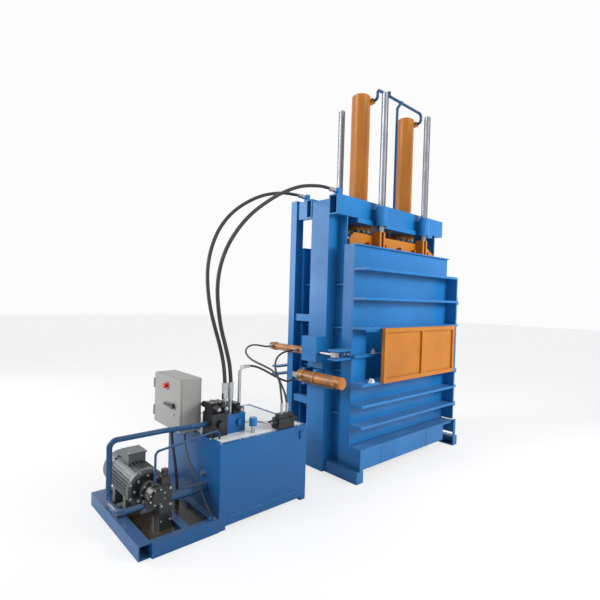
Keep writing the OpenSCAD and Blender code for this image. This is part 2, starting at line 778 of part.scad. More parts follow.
// Front bale door: skin with the feed window, split by a middle bar
module front_door() {
    window_low = feed_rib + rib_t / 2;
    window_high = feed_top_rib - rib_t / 2;
    color(blue) {
        difference() {
            block([-door_half, -skin_out, door_bottom], [door_half, -door_in, door_top]);
            block([-window_half, -skin_out - 1, window_low], [window_half, -door_in + 1, window_high]);
        }
        block([-door_half, -skin_out - mid_bar_depth, mid_bar_z - rib_t / 2],
            [door_half - jamb_t, -door_in, mid_bar_z + rib_t / 2]);
    }
}

// Ribs of a bale door, with the end plate and the hinge lugs on its right side
module door_lug(sign, y_hinge, level) {
    y0 = sign < 0 ? -rib_out + 4 : rear_post_back + 8;
    y1 = sign < 0 ? -skin_out - 60 : rib_out;
    outline = [[door_half - 1, y0], [hinge_x, y_hinge - eye_r + 1], [hinge_x, y_hinge + eye_r - 1], [door_half - 1, y1]];
    hinge_plate(outline, hinge_x, y_hinge, level - rib_t / 2, rib_t, hinge_r + run_gap);
}
module door_ribs(sign, y_hinge, levels) {
    y_a = sign * skin_out;
    y_b = sign * rib_out;
    for (z = levels)
        block([-door_half, min(y_a, y_b), z - rib_t / 2], [door_half, max(y_a, y_b), z + rib_t / 2]);
    block([door_half - jamb_t, min(y_a, y_b), lower_ribs[2] - rib_t / 2], [door_half, max(y_a, y_b), door_top]);
    for (i = [1 : len(levels) - 1]) door_lug(sign, y_hinge, levels[i]);
}
module front_door_ribs() {
    stop_x = shoe_places[0] - shoe_w / 2 - 148 - 12;
    color(blue) {
        door_ribs(-1, front_hinge_y, rib_levels);
        block([-door_half + 60, -strip_y, strip_low], [door_half - 60, -strip_y + strip_t, feed_top_rib - rib_t / 2]);
        block([stop_x - 25, -rib_out + 4, feed_rib + rib_t / 2], [stop_x, -rib_out + 50, feed_rib + rib_t / 2 + 30]);
    }
}

// Fork on the left edge of the front door, which the front clamp takes hold of
module front_door_fork() {
    color(blue) {
        block([-door_half - 16, -rib_out, front_clamp_z - fork_gap - fork_t],
            [-door_half, -skin_out + 14, front_clamp_z + fork_gap + fork_t]);
        for (z = [front_clamp_z - fork_gap - fork_t, front_clamp_z + fork_gap])
            block([-clamp_x - 40, -rib_out, z], [-door_half - 16, -post_rear - 30, z + fork_t]);
    }
}

// Feed door: rim, middle stile and two recessed panels, hung on the ribs behind it
module feed_door() {
    right = feed_left + feed_l;
    panel_l = (feed_l - 3 * feed_rim) / 2;
    hook_low = strip_low - 12;
    color(orange) {
        difference() {
            block([feed_left, -feed_front, feed_low], [right, -feed_back, feed_high]);
            for (i = [0:1]) let (x = feed_left + feed_rim + i * (panel_l + feed_rim))
                block([x, -feed_front - 1, feed_low + feed_rim],
                    [x + panel_l, -feed_front + feed_recess, feed_high - feed_rim]);
        }
        for (x = shoe_places) {
            block([x - shoe_w / 2, -feed_back, feed_rib + rib_t / 2 + lug_gap],
                [x + shoe_w / 2, -rib_out + 48, feed_rib + rib_t / 2 + 24]);
            block([x - shoe_w / 2, -feed_back, hook_low], [x + shoe_w / 2, -strip_y + strip_t + 14, strip_low - 0.5]);
            block([x - shoe_w / 2, -strip_y + strip_t + 0.5, hook_low],
                [x + shoe_w / 2, -strip_y + strip_t + 14, feed_top_rib - rib_t / 2 - 3]);
        }
    }
}

// Rear bale door, closed all over
rear_levels = concat(upper_ribs, [mid_bar_z], lower_ribs);
module rear_door() {
    color(blue) block([-door_half, door_in, door_bottom], [door_half, skin_out, door_top]);
}
module rear_door_ribs() {
    color(blue) door_ribs(1, rear_hinge_y, rear_levels);
}
module rear_door_fork() {
    y0 = rear_post_back + 52;
    color(blue) for (z = [rear_clamp_z - fork_gap - fork_t, rear_clamp_z + fork_gap])
        block([-clamp_x - 50, y0, z], [-door_half + 100, y0 + 88, z + fork_t]);
    color(blue) block([-door_half, rib_out, rear_clamp_z - fork_gap - fork_t],
        [-door_half + 100, y0 + 88, rear_clamp_z + fork_gap + fork_t]);
}

// Platen: base plate, webs with cut corners, gussets and the seats of the rods
module platen_web_plate(y) {
    cut = 130;
    translate([0, y + plate_t, 0]) rotate([90, 0, 0]) linear_extrude(height = plate_t)
        polygon([[-platen_x, platen_low + platen_t], [platen_x, platen_low + platen_t],
            [platen_x, platen_top - cut], [platen_x - 2 * cut, platen_top],
            [-platen_x + cut / 2, platen_top], [-platen_x, platen_top - cut / 2]]);
}
module platen() {
    base_top = platen_low + platen_t;
    web_place = guide_y - 80;
    color(orange) difference() {
        union() {
            block([-platen_x, -platen_y, platen_low], [platen_x, platen_y, base_top]);
            platen_web_plate(-web_place);
            platen_web_plate(web_place - plate_t);
            for (x = [-600, -300, 0, 300, 600])
                block([x - plate_t / 2, -web_place, base_top], [x + plate_t / 2, web_place, platen_top - 20]);
            for (x = [-600, -300, 0, 300, 600], sy = [-1, 1])
                block([x - plate_t / 2, sy * web_place - 60, base_top], [x + plate_t / 2, sy * web_place + 60, base_top + 110]);
            for (sx = [-1, 1], sy = [-1, 1])
                block([sx * guide_x - foot_block / 2, min(sy * platen_y, sy * (web_place - 5)), base_top],
                    [sx * guide_x + foot_block / 2, max(sy * platen_y, sy * (web_place - 5)), foot_top]);
            for (sx = [-1, 1]) upright(sx * barrel_x, barrel_y, base_top, platen_top, piston_rod_r + 40);
        }
        for (sx = [-1, 1], sy = [-1, 1]) upright(sx * guide_x, sy * guide_y, base_top, foot_top + 1, guide_r);
        for (sx = [-1, 1]) upright(sx * barrel_x, barrel_y, base_top, platen_top + 1, piston_rod_r);
    }
}
module piston_rods() {
    stroke_end = barrel_top - cap_t - 20;
    color(steel) for (sx = [-1, 1]) {
        upright(sx * barrel_x, barrel_y, platen_low + platen_t, stroke_end, piston_rod_r);
        upright(sx * barrel_x, barrel_y, stroke_end - piston_t, stroke_end, bore_r - run_gap);
    }
}
module guide_rods() {
    color(steel) for (sx = [-1, 1], sy = [-1, 1]) {
        upright(sx * guide_x, sy * guide_y, platen_low + platen_t, guide_top - 10, guide_r);
        upright(sx * guide_x, sy * guide_y, guide_top - 10, guide_top, guide_r - 6);
    }
}

// Power unit skid of channels with open ends
module power_skid() {
    x1 = skid_left + skid_w;
    inner = skid_h - 2 * 8;
    color(blue) difference() {
        union() {
            block([skid_left, skid_front, 0], [x1, skid_rear, skid_h]);
            block([x1 - 1, front_beam_y, 0], [tank_left, front_beam_y + beam_w, skid_h]);
            block([x1 - 1, skid_rear - beam_w, 0], [tank_left, skid_rear, skid_h]);
            block([tank_left - beam_w, front_beam_y + 1, 0], [tank_left, skid_rear, skid_h]);
            block([divider_x, front_beam_y + 1, 0], [divider_x + beam_w, skid_rear - 1, skid_h]);
            block([x1 - 1, suction_y - 30, 0], [divider_x + 1, suction_y + 30, tray_top - tray_t]);
            upright(cable_route[15][0], cable_route[15][1], skid_h - 1, cable_route[15][2], gland_r);
        }
        block([skid_left + 8, skid_front - 1, 8], [x1 - 8, skid_rear + 1, 8 + inner]);
    }
}
module drip_trays() {
    low = tray_top - tray_t;
    y0 = front_beam_y + beam_w;
    y1 = skid_rear - beam_w;
    color(brown) {
        block([skid_left + skid_w, y0, low], [divider_x, y1, tray_top]);
        block([divider_x + beam_w, y0, low], [tank_left - beam_w, y1, tray_top]);
        upright(motor_cable_route[15][0], motor_cable_route[15][1], tray_top, motor_cable_route[15][2], gland_r + 4);
    }
}

// Oil tank with folded rim, lid and fittings
module oil_tank() {
    t = 6;
    lug_x = tank_right - 90;
    color(blue) block([lug_x, tank_front - 14, tank_h - 110], [lug_x + 60, tank_front, tank_h - 40]);
    color(blue) difference() {
        block([tank_left, tank_front, 0], [tank_right, tank_rear, tank_h]);
        block([tank_left + t, tank_front + t, 60], [tank_right - t, tank_rear - t, tank_h + 1]);
        block([tank_left + 60, tank_front - 1, -1], [tank_right - 60, tank_rear + 1, 30]);
    }
}
module tank_lid() {
    color(pale) block([tank_left - 8, tank_front - 8, tank_h], [tank_right + 8, tank_rear + 8, lid_top]);
}
breather_at = [-2177, -408];
module tank_fittings() {
    color(steel) {
        upright(breather_at[0], breather_at[1] + 60, lid_top, lid_top + 60, 18);
        upright(breather_at[0], breather_at[1] + 60, lid_top + 60, lid_top + 130, 34);
        along_x(-185, 394, tank_left - 18, tank_left, 22);
        pipe_run([[riser_x, valve_y, base_top], [riser_x, valve_y, riser_route[0][2]], riser_route[0]], 14, 40);
    }
}

// Motor: finned frame with foot bars, shields, fan cowl, terminal box and rotor
module motor_frame() {
    color(dark) {
        translate([motor_x, motor_rear, motor_z]) rotate([90, 0, 0]) difference() {
            linear_extrude(height = motor_rear - motor_front) {
                circle(r = motor_r);
                for (i = [0 : fin_count - 1]) rotate(i * 360 / fin_count)
                    translate([motor_r - 2, -2.5]) square([fin_h + 2, 5]);
            }
            translate([0, 0, 20]) cylinder(r = stator_r, h = motor_rear - motor_front);
            translate([0, 0, -1]) cylinder(r = shaft_r + run_gap, h = 30);
        }
        difference() {
            for (y = [60, 300]) {
                block([skid_left + 20, y, skid_h], [divider_x + beam_w, y + 60, skid_h + 26]);
                block([motor_x - 110, y, skid_h + 20], [motor_x + 110, y + 60, motor_z]);
            }
            along_y(motor_x, motor_z, motor_front, motor_rear, motor_r - 10);
        }
    }
}
module drive_shield() {
    color(dark) difference() {
        union() {
            along_y(motor_x, motor_z, motor_front - 36, motor_front, motor_r + fin_h);
            along_y(motor_x, motor_z, motor_front, motor_front + 14, stator_r - run_gap);
        }
        along_y(motor_x, motor_z, motor_front - 40, motor_front + 20, shaft_r + run_gap);
    }
}
module fan_cowl() {
    t = 4;
    color(dark) difference() {
        along_y(motor_x, motor_z, motor_rear, cowl_rear, cowl_r);
        along_y(motor_x, motor_z, motor_rear - 1, cowl_rear - t, cowl_r - t);
        for (r = [48 : 24 : cowl_r - 20], i = [0:11]) rotate_about_motor(i * 30 + r)
            along_y(motor_x + r, motor_z, cowl_rear - 10, cowl_rear + 1, 9);
    }
}
module rotate_about_motor(a) {
    translate([motor_x, 0, motor_z]) rotate([0, a, 0]) translate([-motor_x, 0, -motor_z]) children();
}
module terminal_box() {
    low = motor_z + motor_r - 8;
    color(dark) difference() {
        union() {
            block([motor_x - 70, 120, low], [motor_x + 70, 280, low + 90]);
            block([motor_x - 78, 112, low + 90], [motor_x + 78, 288, low + 102]);
        }
        along_y(motor_x, motor_z, motor_front, motor_rear, motor_r + fin_h + lug_gap);
    }
}
fan_r = cowl_r - 18;
coupling_r = 42;
module motor_rotor() {
    fan_y = motor_rear + 50;
    color(steel) {
        along_y(motor_x, motor_z, bell_front + 30, fan_y + 40, shaft_r);
        along_y(motor_x, motor_z, motor_front + 60, motor_rear - 60, rotor_r);
        along_y(motor_x, motor_z, bell_front + 30, motor_front - 46, coupling_r);
        along_y(motor_x, motor_z, fan_y, fan_y + 40, 50);
        for (i = [0:6]) rotate_about_motor(i * 360 / 7)
            block([motor_x + 45, fan_y + 2, motor_z - 3], [motor_x + fan_r, fan_y + 38, motor_z + 3]);
    }
}

// Bell housing, pump and the pipes between pump, tank and valves
module bell_housing() {
    y1 = motor_front - 36;
    inner = coupling_r + 14;
    color(dark) difference() {
        union() {
            along_y(motor_x, motor_z, bell_front, y1, inner + 16);
            along_y(motor_x, motor_z, y1 - 18, y1, inner + 64);
            along_y(motor_x, motor_z, bell_front, bell_front + 16, pump_r + 18);
        }
        along_y(motor_x, motor_z, bell_front - 1, y1 + 1, inner);
    }
}

// Pump with its pressure port, and the filter block that stands beside it
module hydraulic_pump() {
    back = bell_front - 16;
    block_top = motor_z + 65;
    cap_top = block_top + 65;
    color(dark) {
        along_y(motor_x, motor_z, back, bell_front, pump_r + 18);
        along_y(motor_x, motor_z, pump_front, back, pump_r);
        along_y(motor_x, motor_z, pump_front - 20, pump_front, pump_r - 20);
        along_y(motor_x, motor_z, bell_front - 1, bell_front + 20, 18);
        block([motor_x - pump_half, suction_y - 32, port_z - 32], [motor_x, suction_y + 32, port_z + 32]);
        block([motor_x - 24, suction_y - 24, motor_z], [motor_x + 20, suction_y + 24, motor_z + pump_half]);
        block([pump_block[0], pump_block_front, tray_top], [pump_block[1], back - 4, block_top]);
        block([pump_block[0] + 20, pump_block_front + 10, block_top], [pump_block[1] - 10, back - 14, cap_top]);
        upright(pump_block[0] + 55, suction_y, cap_top, cap_top + 52, 26);
    }
}
module pump_pipes() {
    run_y = -20;
    thin_r = 9;
    thin_end = [tank_left + 60, tank_front + 120];
    color(blue) {
        pipe_run([[motor_x - pump_half, suction_y, port_z], [pipe_x, suction_y, port_z], [pipe_x, run_y, port_z],
            [pipe_x, run_y, lid_top + 55], [-2880, -110, lid_top + 85], [-2680, valve_y, lid_top + 105],
            [tower_x[0], valve_y, lid_top + 105]], pipe_r, 60);
        along_x(suction_y, suction_z, pump_block[1], tank_left, suction_r);
    }
    color(grey) pipe_run([[motor_x, suction_y, motor_z + pump_half], [motor_x, suction_y, lid_top - 25],
        [thin_end[0], thin_end[1], lid_top + 75], [thin_end[0], thin_end[1], lid_top]], thin_r, 40);
}

// Valves on the tank lid: a dark tower, a painted base with the hose ports, and stacked valves with solenoids
valve_y = -200;
tower_x = [tank_left + 20, tank_left + 168];
base_right = tank_left + 360;
base_top = lid_top + 165;
riser_x = riser_route[0][0] - 50;
solenoid_r = 26;
module valve_base() {
    color(blue) {
        block([tower_x[1], valve_y - 60, lid_top], [base_right, valve_y + 90, base_top]);
        along_y(base_right - 60, lid_top + 90, valve_y - 84, valve_y - 60, 30);
    }
}
module valve(x, w, low) {
    block([x, valve_y - 48, low], [x + w, valve_y + 64, low + 84]);
    along_y(x + w / 2, low + 46, valve_y - 118, valve_y - 48, solenoid_r);
    along_y(x + w / 2, low + 46, valve_y + 64, valve_y + 134, solenoid_r);
}
module main_manifold() {
    tower_top = lid_top + 195;
    port_top = main_rear_route[0][2];
    port_r = main_hose_d / 2;
    color(dark) {
        block([tower_x[0], valve_y - 80, lid_top], [tower_x[1], valve_y + 80, tower_top]);
        along_y(tower_x[0] + 80, lid_top + 100, valve_y - 112, valve_y - 80, 34);
        valve(tower_x[0] + 6, 62, tower_top);
        valve(tower_x[0] + 78, 62, tower_top);
        valve(riser_x - 76, 56, base_top);
    }
    color(steel) for (x = [main_rear_route[0][0], main_front_route[0][0]]) {
        upright(x, valve_y, base_top, port_top - 50, port_r + 3);
        upright(x, valve_y, port_top - 50, port_top, port_r + 7);
    }
}
module clamp_manifold() {
    y = rear_port_route[15][1];
    left = rear_port_route[15][0] - 60;
    right = left + 180;
    body_top = lid_top + 95;
    port_low = body_top + 40;
    spool_z = lid_top + 65;
    color(dark) {
        block([left, y - 40, lid_top], [right, y + 60, body_top]);
        block([left + 10, y - 30, body_top], [right - 10, y + 30, port_low]);
        along_x(y, spool_z, left - 50, left, solenoid_r);
        along_x(y, spool_z, right, right + 50, solenoid_r);
    }
    color(steel) {
        for (x = [left + 60, left + 120]) upright(x, y, port_low, rear_port_route[15][2], 14);
        pipe_run([[base_right, valve_y - 40, spool_z], [base_right + 90, valve_y - 40, spool_z],
            [left - 90, y + 40, spool_z], [left, y + 40, spool_z]], 9, 40);
    }
}

// Electrical cabinet: box with hinge pins, bracket under it and its cable gland
module cabinet_box() {
    t = cabinet_t;
    color(grey) {
        difference() {
            block([cabinet_face, cabinet_y, cabinet_low], [cabinet_back, cabinet_end, cabinet_top]);
            block([cabinet_face - 1, cabinet_y + t, cabinet_low + t],
                [cabinet_back - t, cabinet_end - t, cabinet_top - t]);
        }
        block([cabinet_back - 30, cabinet_y + 40, cabinet_low + 40], [cabinet_back - t, cabinet_end - 40, cabinet_top - 40]);
        for (z = knuckle_places) {
            upright(door_out, hinge_pin_y, z - 12, z + knuckle_l + 12, hinge_pin_r);
            for (low = [z - 14, z + knuckle_l + 2])
                block([door_out - 6, cabinet_end, low], [cabinet_face + 20, hinge_pin_y + 6, low + 12]);
        }
        upright(cable_route[0][0], cable_route[0][1], cable_route[0][2], cabinet_low, gland_r);
        upright(motor_cable_route[0][0], motor_cable_route[0][1], motor_cable_route[0][2], cabinet_low, gland_r + 4);
    }
    color(pale) for (y = [cabinet_y + 100, cabinet_end - 100])
        block([cabinet_face + 10, y, lid_top], [cabinet_back + 40, y + 40, cabinet_low]);
}
module cabinet_door() {
    color(grey) difference() {
        union() {
            block([door_out, cabinet_y + 2, cabinet_low + 2], [door_out + cabinet_door_t, cabinet_end - 4, cabinet_top - 2]);
            for (z = knuckle_places) {
                upright(door_out, hinge_pin_y, z, z + knuckle_l, knuckle_r);
                block([door_out - 2, cabinet_end - 5, z], [door_out + 2, hinge_pin_y, z + knuckle_l]);
            }
        }
        for (z = knuckle_places) upright(door_out, hinge_pin_y, z - 1, z + knuckle_l + 1, hinge_pin_r + run_gap);
        along_x(handle_y, handle_z, door_out - 1, door_out + cabinet_door_t + 1, handle_r + run_gap);
        along_x(button_y, button_z, door_out - 1, door_out + cabinet_door_t + 1, button_r + run_gap);
    }
}
module cabinet_handle() {
    color(dark) {
        along_x(handle_y, handle_z, door_out - 26, door_out + cabinet_door_t, handle_r);
        along_x(handle_y, handle_z, door_out - 26, door_out - 0.3, 22);
        block([door_out - 26, handle_y, handle_z - 11], [door_out - 12, handle_y + 150, handle_z + 11]);
    }
}
module stop_button() {
    color([0.75, 0.1, 0.08]) {
        along_x(button_y, button_z, door_out - 22, door_out + cabinet_door_t, button_r);
        along_x(button_y, button_z, door_out - 34, door_out - 16, 22);
    }
}

module main_hose_rear() {
    color(dark) cord(main_rear_route, main_hose_d);
}
module main_hose_front() {
    color(dark) cord(main_front_route, main_hose_d);
}
module rear_port_hose() {
    color(dark) cord(rear_port_route, clamp_hose_d);
}
module front_port_hose() {
    color(dark) cord(front_port_route, clamp_hose_d);
}
module riser_hose() {
    color(dark) cord(riser_route, clamp_hose_d);
}
module cabinet_cable() {
    color(dark) cord(cable_route, cable_d);
}
module motor_cable() {
    color(dark) cord(motor_cable_route, motor_cable_d);
}

foot_channels();
base_frame();
chamber_floor();
side_walls();
front_posts();
rear_posts();
side_columns();
top_panels();
crown_beams();
crown_bed();
guide_sleeves();
tie_beams();
left_main_cylinder();
right_main_cylinder();
crossover_pipe();
hinge_arms();
hinge_pins();
front_clamp_box();
front_clamp_cylinder();
rear_clamp_saddles();
rear_clamp_cylinder();
front_door();
front_door_ribs();
front_door_fork();
feed_door();
rear_door();
rear_door_ribs();
rear_door_fork();
platen();
piston_rods();
guide_rods();
front_clamp_rod();
rear_clamp_rod();
power_skid();
drip_trays();
oil_tank();
tank_lid();
tank_fittings();
motor_frame();
drive_shield();
fan_cowl();
terminal_box();
motor_rotor();
bell_housing();
hydraulic_pump();
pump_pipes();
valve_base();
main_manifold();
clamp_manifold();
cabinet_box();
cabinet_door();
cabinet_handle();
stop_button();
main_hose_rear();
main_hose_front();
rear_port_hose();
front_port_hose();
riser_hose();
cabinet_cable();
motor_cable();
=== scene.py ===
"""Baling press with its power unit: finishes, hoses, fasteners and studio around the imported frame."""
import json
import math

import bpy
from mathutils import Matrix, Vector


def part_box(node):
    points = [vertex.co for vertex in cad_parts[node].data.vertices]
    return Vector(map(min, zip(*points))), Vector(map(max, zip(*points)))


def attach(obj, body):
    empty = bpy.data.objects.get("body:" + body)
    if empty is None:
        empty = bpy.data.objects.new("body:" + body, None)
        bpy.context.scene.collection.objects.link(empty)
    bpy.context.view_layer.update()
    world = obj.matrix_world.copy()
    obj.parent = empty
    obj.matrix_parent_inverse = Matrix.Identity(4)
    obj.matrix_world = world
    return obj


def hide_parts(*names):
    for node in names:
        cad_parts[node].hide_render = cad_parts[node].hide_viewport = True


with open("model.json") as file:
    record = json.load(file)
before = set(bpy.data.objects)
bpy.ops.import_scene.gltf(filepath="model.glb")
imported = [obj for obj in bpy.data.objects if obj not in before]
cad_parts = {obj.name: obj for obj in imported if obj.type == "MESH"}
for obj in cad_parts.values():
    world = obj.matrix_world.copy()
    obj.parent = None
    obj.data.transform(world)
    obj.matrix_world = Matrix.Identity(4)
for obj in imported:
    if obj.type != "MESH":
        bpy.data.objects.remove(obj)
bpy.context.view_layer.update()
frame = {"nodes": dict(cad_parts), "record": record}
nodes = frame["nodes"]
MM = 0.001

# Colours of the finishes, linear light
BLUE = (0.011, 0.140, 0.375)
ORANGE = (0.40, 0.138, 0.015)
UNIT_BLUE = (0.006, 0.088, 0.26)
PIPE_BLUE = (0.006, 0.052, 0.14)
LID_WHITE = (0.74, 0.75, 0.74)
CABINET_GREY = (0.27, 0.265, 0.255)
MOTOR_GREY = (0.075, 0.083, 0.092)
VALVE_STEEL = (0.055, 0.057, 0.060)
PUMP_BLACK = (0.013, 0.014, 0.015)
BRIGHT_STEEL = (0.52, 0.53, 0.54)
PALE_ZINC = (0.62, 0.63, 0.64)
CHROME = (0.29, 0.302, 0.335)
# Painted shade for the guide rods' edges, and the dark tint of their reflection there
CHROME_EDGE_SHADE = (0.06, 0.065, 0.08)
TRAY_BROWN = (0.040, 0.026, 0.016)
HOSE_BLACK = (0.012, 0.012, 0.013)
PLASTIC_BLACK = (0.014, 0.014, 0.015)
BUTTON_RED = (0.50, 0.012, 0.010)
DUST = (0.30, 0.29, 0.26)
SPLASH_GRIME = (0.035, 0.032, 0.028)
FLOOR_PALE = (0.82, 0.82, 0.82)
BACKDROP_PALE = (0.97, 0.97, 0.97)
SKY_LIGHT = (0.92, 0.95, 1.0)
FLOOR_LIFT = 0.68

# Heights over which splash grime fades out
GRIME_TOP, GRIME_FULL = 0.75, 0.02


def new_group(name, inputs, outputs):
    """An empty shader group with named float, colour and vector sockets, and its two ends."""
    tree = bpy.data.node_groups.new(name, "ShaderNodeTree")
    kinds = {"f": "NodeSocketFloat", "c": "NodeSocketColor", "v": "NodeSocketVector"}
    for label, kind, default in inputs:
        socket = tree.interface.new_socket(label, in_out="INPUT", socket_type=kinds[kind])
        socket.default_value = default if kind == "f" else (*default, 1.0)[: 4 if kind == "c" else 3]
    for label, kind in outputs:
        tree.interface.new_socket(label, in_out="OUTPUT", socket_type=kinds[kind])
    return tree, tree.nodes.new("NodeGroupInput"), tree.nodes.new("NodeGroupOutput")


def feed(tree, value, socket):
    """Sets a socket to a number, or links it to another socket."""
    if isinstance(value, (int, float)):
        socket.default_value = value
    else:
        tree.links.new(value, socket)


def maths(tree, operation, a, b):
    """One sum of two values; each is a number or a socket."""
    node = tree.nodes.new("ShaderNodeMath")
    node.operation = operation
    feed(tree, a, node.inputs[0])
    feed(tree, b, node.inputs[1])
    return node.outputs["Value"]


def multiply(tree, a, b):
    """The product of two values."""
    return maths(tree, "MULTIPLY", a, b)


def noise(tree, vector, scale, detail=4.0):
    """A noise texture on a vector."""
    node = tree.nodes.new("ShaderNodeTexNoise")
    node.inputs["Detail"].default_value = detail
    tree.links.new(vector, node.inputs["Vector"])
    feed(tree, scale, node.inputs["Scale"])
    return node.outputs["Fac"]


def remap(tree, value, low, high, out_low=0.0, out_high=1.0):
    """A value taken from one range to another, clamped; the limits are numbers or sockets."""
    node = tree.nodes.new("ShaderNodeMapRange")
    for socket, limit in zip(node.inputs[1:5], (low, high, out_low, out_high)):
        feed(tree, limit, socket)
    tree.links.new(value, node.inputs["Value"])
    return node.outputs["Result"]


def blend_colour(tree, factor, a, b):
    """Colour a turned towards colour b by a factor; each is a socket or a colour."""
    node = tree.nodes.new("ShaderNodeMix")
    node.data_type = "RGBA"
    tree.links.new(factor, node.inputs["Factor"])
    for label, colour in (("A", a), ("B", b)):
        socket = next(s for s in node.inputs if s.name == label and s.type == "RGBA")
        if isinstance(colour, tuple):
            socket.default_value = (*colour, 1.0)
        else:
            tree.links.new(colour, socket)
    return next(s for s in node.outputs if s.type == "RGBA")


def weathering_group():
    """Uneven colour, dust on upward faces and splash grime near the floor."""
    tree, start, end = new_group(
        "weathering",
        [("Base", "c", (0.5, 0.5, 0.5)), ("Shade", "c", (0.4, 0.4, 0.4)), ("Dust colour", "c", DUST),
         ("Patch size", "f", 2.0), ("Dust", "f", 0.3), ("Grime", "f", 0.4), ("Gloss low", "f", 0.3),
         ("Gloss high", "f", 0.5)],
        [("Color", "c"), ("Roughness", "f")])
    place = tree.nodes.new("ShaderNodeTexCoord").outputs["Object"]
    facing = tree.nodes.new("ShaderNodeSeparateXYZ")
    tree.links.new(tree.nodes.new("ShaderNodeNewGeometry").outputs["Normal"], facing.inputs[0])
    height = tree.nodes.new("ShaderNodeSeparateXYZ")
    tree.links.new(place, height.inputs[0])
    patches = remap(tree, noise(tree, place, start.outputs["Patch size"], detail=5.0), low=0.38, high=0.66)
    specks = remap(tree, noise(tree, place, scale=34.0, detail=3.0), low=0.35, high=0.75, out_low=0.25)
    upward = remap(tree, facing.outputs["Z"], low=0.55, high=0.95)
    dust = multiply(tree, multiply(tree, upward, specks), start.outputs["Dust"])
    near_floor = remap(tree, height.outputs["Z"], GRIME_TOP, GRIME_FULL)
    grime = multiply(tree, multiply(tree, near_floor, specks), start.outputs["Grime"])
    colour = blend_colour(tree, patches, start.outputs["Base"], start.outputs["Shade"])
    colour = blend_colour(tree, dust, colour, start.outputs["Dust colour"])
    colour = blend_colour(tree, grime, colour, SPLASH_GRIME)
    tree.links.new(colour, end.inputs["Color"])
    gloss = remap(tree, patches, 0.0, 1.0, start.outputs["Gloss low"], start.outputs["Gloss high"])
    tree.links.new(gloss, end.inputs["Roughness"])
    return tree


def scuff_group():
    """A mask of rubbed spots and short scratches where bare metal shows."""
    tree, start, end = new_group(
        "scuffs", [("Spread", "f", 0.5), ("Spot size", "f", 9.0)], [("Mask", "f")])
    place = tree.nodes.new("ShaderNodeTexCoord").outputs["Object"]
    stretch = tree.nodes.new("ShaderNodeMapping")
    stretch.inputs["Scale"].default_value = (1.0, 1.0, 5.0)
    tree.links.new(place, stretch.inputs["Vector"])
    spots = noise(tree, stretch.outputs["Vector"], start.outputs["Spot size"], detail=8.0)
    areas = remap(tree, noise(tree, place, scale=1.3, detail=2.0), low=0.45, high=0.7)
    edge = remap(tree, start.outputs["Spread"], low=0.0, high=1.0, out_low=0.80, out_high=0.58)
    marks = remap(tree, spots, low=edge, high=0.84)
    tree.links.new(multiply(tree, marks, areas), end.inputs["Mask"])
    return tree


def skin_group():
    """Fine relief of sprayed paint, castings or moulded plastic."""
    tree, start, end = new_group(
        "skin", [("Grain size", "f", 120.0), ("Wave size", "f", 6.0), ("Wave", "f", 0.5)], [("Height", "f")])
    place = tree.nodes.new("ShaderNodeTexCoord").outputs["Object"]
    grain = noise(tree, place, start.outputs["Grain size"], detail=2.0)
    waves = noise(tree, place, start.outputs["Wave size"], detail=1.0)
    waves = multiply(tree, waves, start.outputs["Wave"])
    tree.links.new(maths(tree, "ADD", grain, waves), end.inputs["Height"])
    return tree


WEATHERING = weathering_group()
SCUFFS = scuff_group()
SKIN = skin_group()


def place_group(material, group, **values):
    """A shader group placed in a material with its own values."""
    node = material.node_tree.nodes.new("ShaderNodeGroup")
    node.node_tree = group
    for label, value in values.items():
        socket = node.inputs[label.replace("_", " ")]
        socket.default_value = (*value, 1.0) if isinstance(value, tuple) else value
    return node


def new_material(name):
    """A material with its tree and its main shader."""
    material = bpy.data.materials.new(name)
    material.use_nodes = True
    return material, material.node_tree, material.node_tree.nodes["Principled BSDF"]


def add_relief(material, shader, strength, depth, **grain):
    """Bump from the skin group on a material's normal."""
    tree = material.node_tree
    bump = tree.nodes.new("ShaderNodeBump")
    bump.inputs["Strength"].default_value = strength
    bump.inputs["Distance"].default_value = depth
    tree.links.new(place_group(material, SKIN, **grain).outputs["Height"], bump.inputs["Height"])
    tree.links.new(bump.outputs["Normal"], shader.inputs["Normal"])


def painted(name, colour, shade=0.82, gloss=(0.28, 0.42), coat=0.06, dust=0.25, grime=0.35, scuffs=0.35,
            bare=BRIGHT_STEEL, patch=1.6):
    """Sprayed enamel with uneven tone, dust, floor grime and rubbed spots."""
    material, tree, shader = new_material(name)
    tone = place_group(material, WEATHERING, Base=colour, Shade=tuple(c * shade for c in colour), Dust=dust,
                       Grime=grime, Patch_size=patch, Gloss_low=gloss[0], Gloss_high=gloss[1])
    rubbed = place_group(material, SCUFFS, Spread=scuffs)
    worn = blend_colour(tree, rubbed.outputs["Mask"], tone.outputs["Color"], bare)
    tree.links.new(worn, shader.inputs["Base Color"])
    tree.links.new(tone.outputs["Roughness"], shader.inputs["Roughness"])
    tree.links.new(rubbed.outputs["Mask"], shader.inputs["Metallic"])
    shader.inputs["Specular IOR Level"].default_value = 0.26
    shader.inputs["Coat Weight"].default_value = coat
    shader.inputs["Coat Roughness"].default_value = 0.12
    add_relief(material, shader, strength=0.10, depth=0.002, Grain_size=160.0, Wave_size=4.0, Wave=1.2)
    return material


def metal(name, colour, gloss, grain=60.0, relief=0.06, grime=0.15):
    """Bare or plated metal with faint handling marks."""
    material, tree, shader = new_material(name)
    tone = place_group(material, WEATHERING, Base=colour, Shade=tuple(c * 0.8 for c in colour), Dust=0.06,
                       Grime=grime, Patch_size=7.0, Gloss_low=gloss[0], Gloss_high=gloss[1])
    tree.links.new(tone.outputs["Color"], shader.inputs["Base Color"])
    tree.links.new(tone.outputs["Roughness"], shader.inputs["Roughness"])
    shader.inputs["Metallic"].default_value = 1.0
    add_relief(material, shader, relief, depth=0.001, Grain_size=grain, Wave_size=8.0, Wave=0.4)
    return material


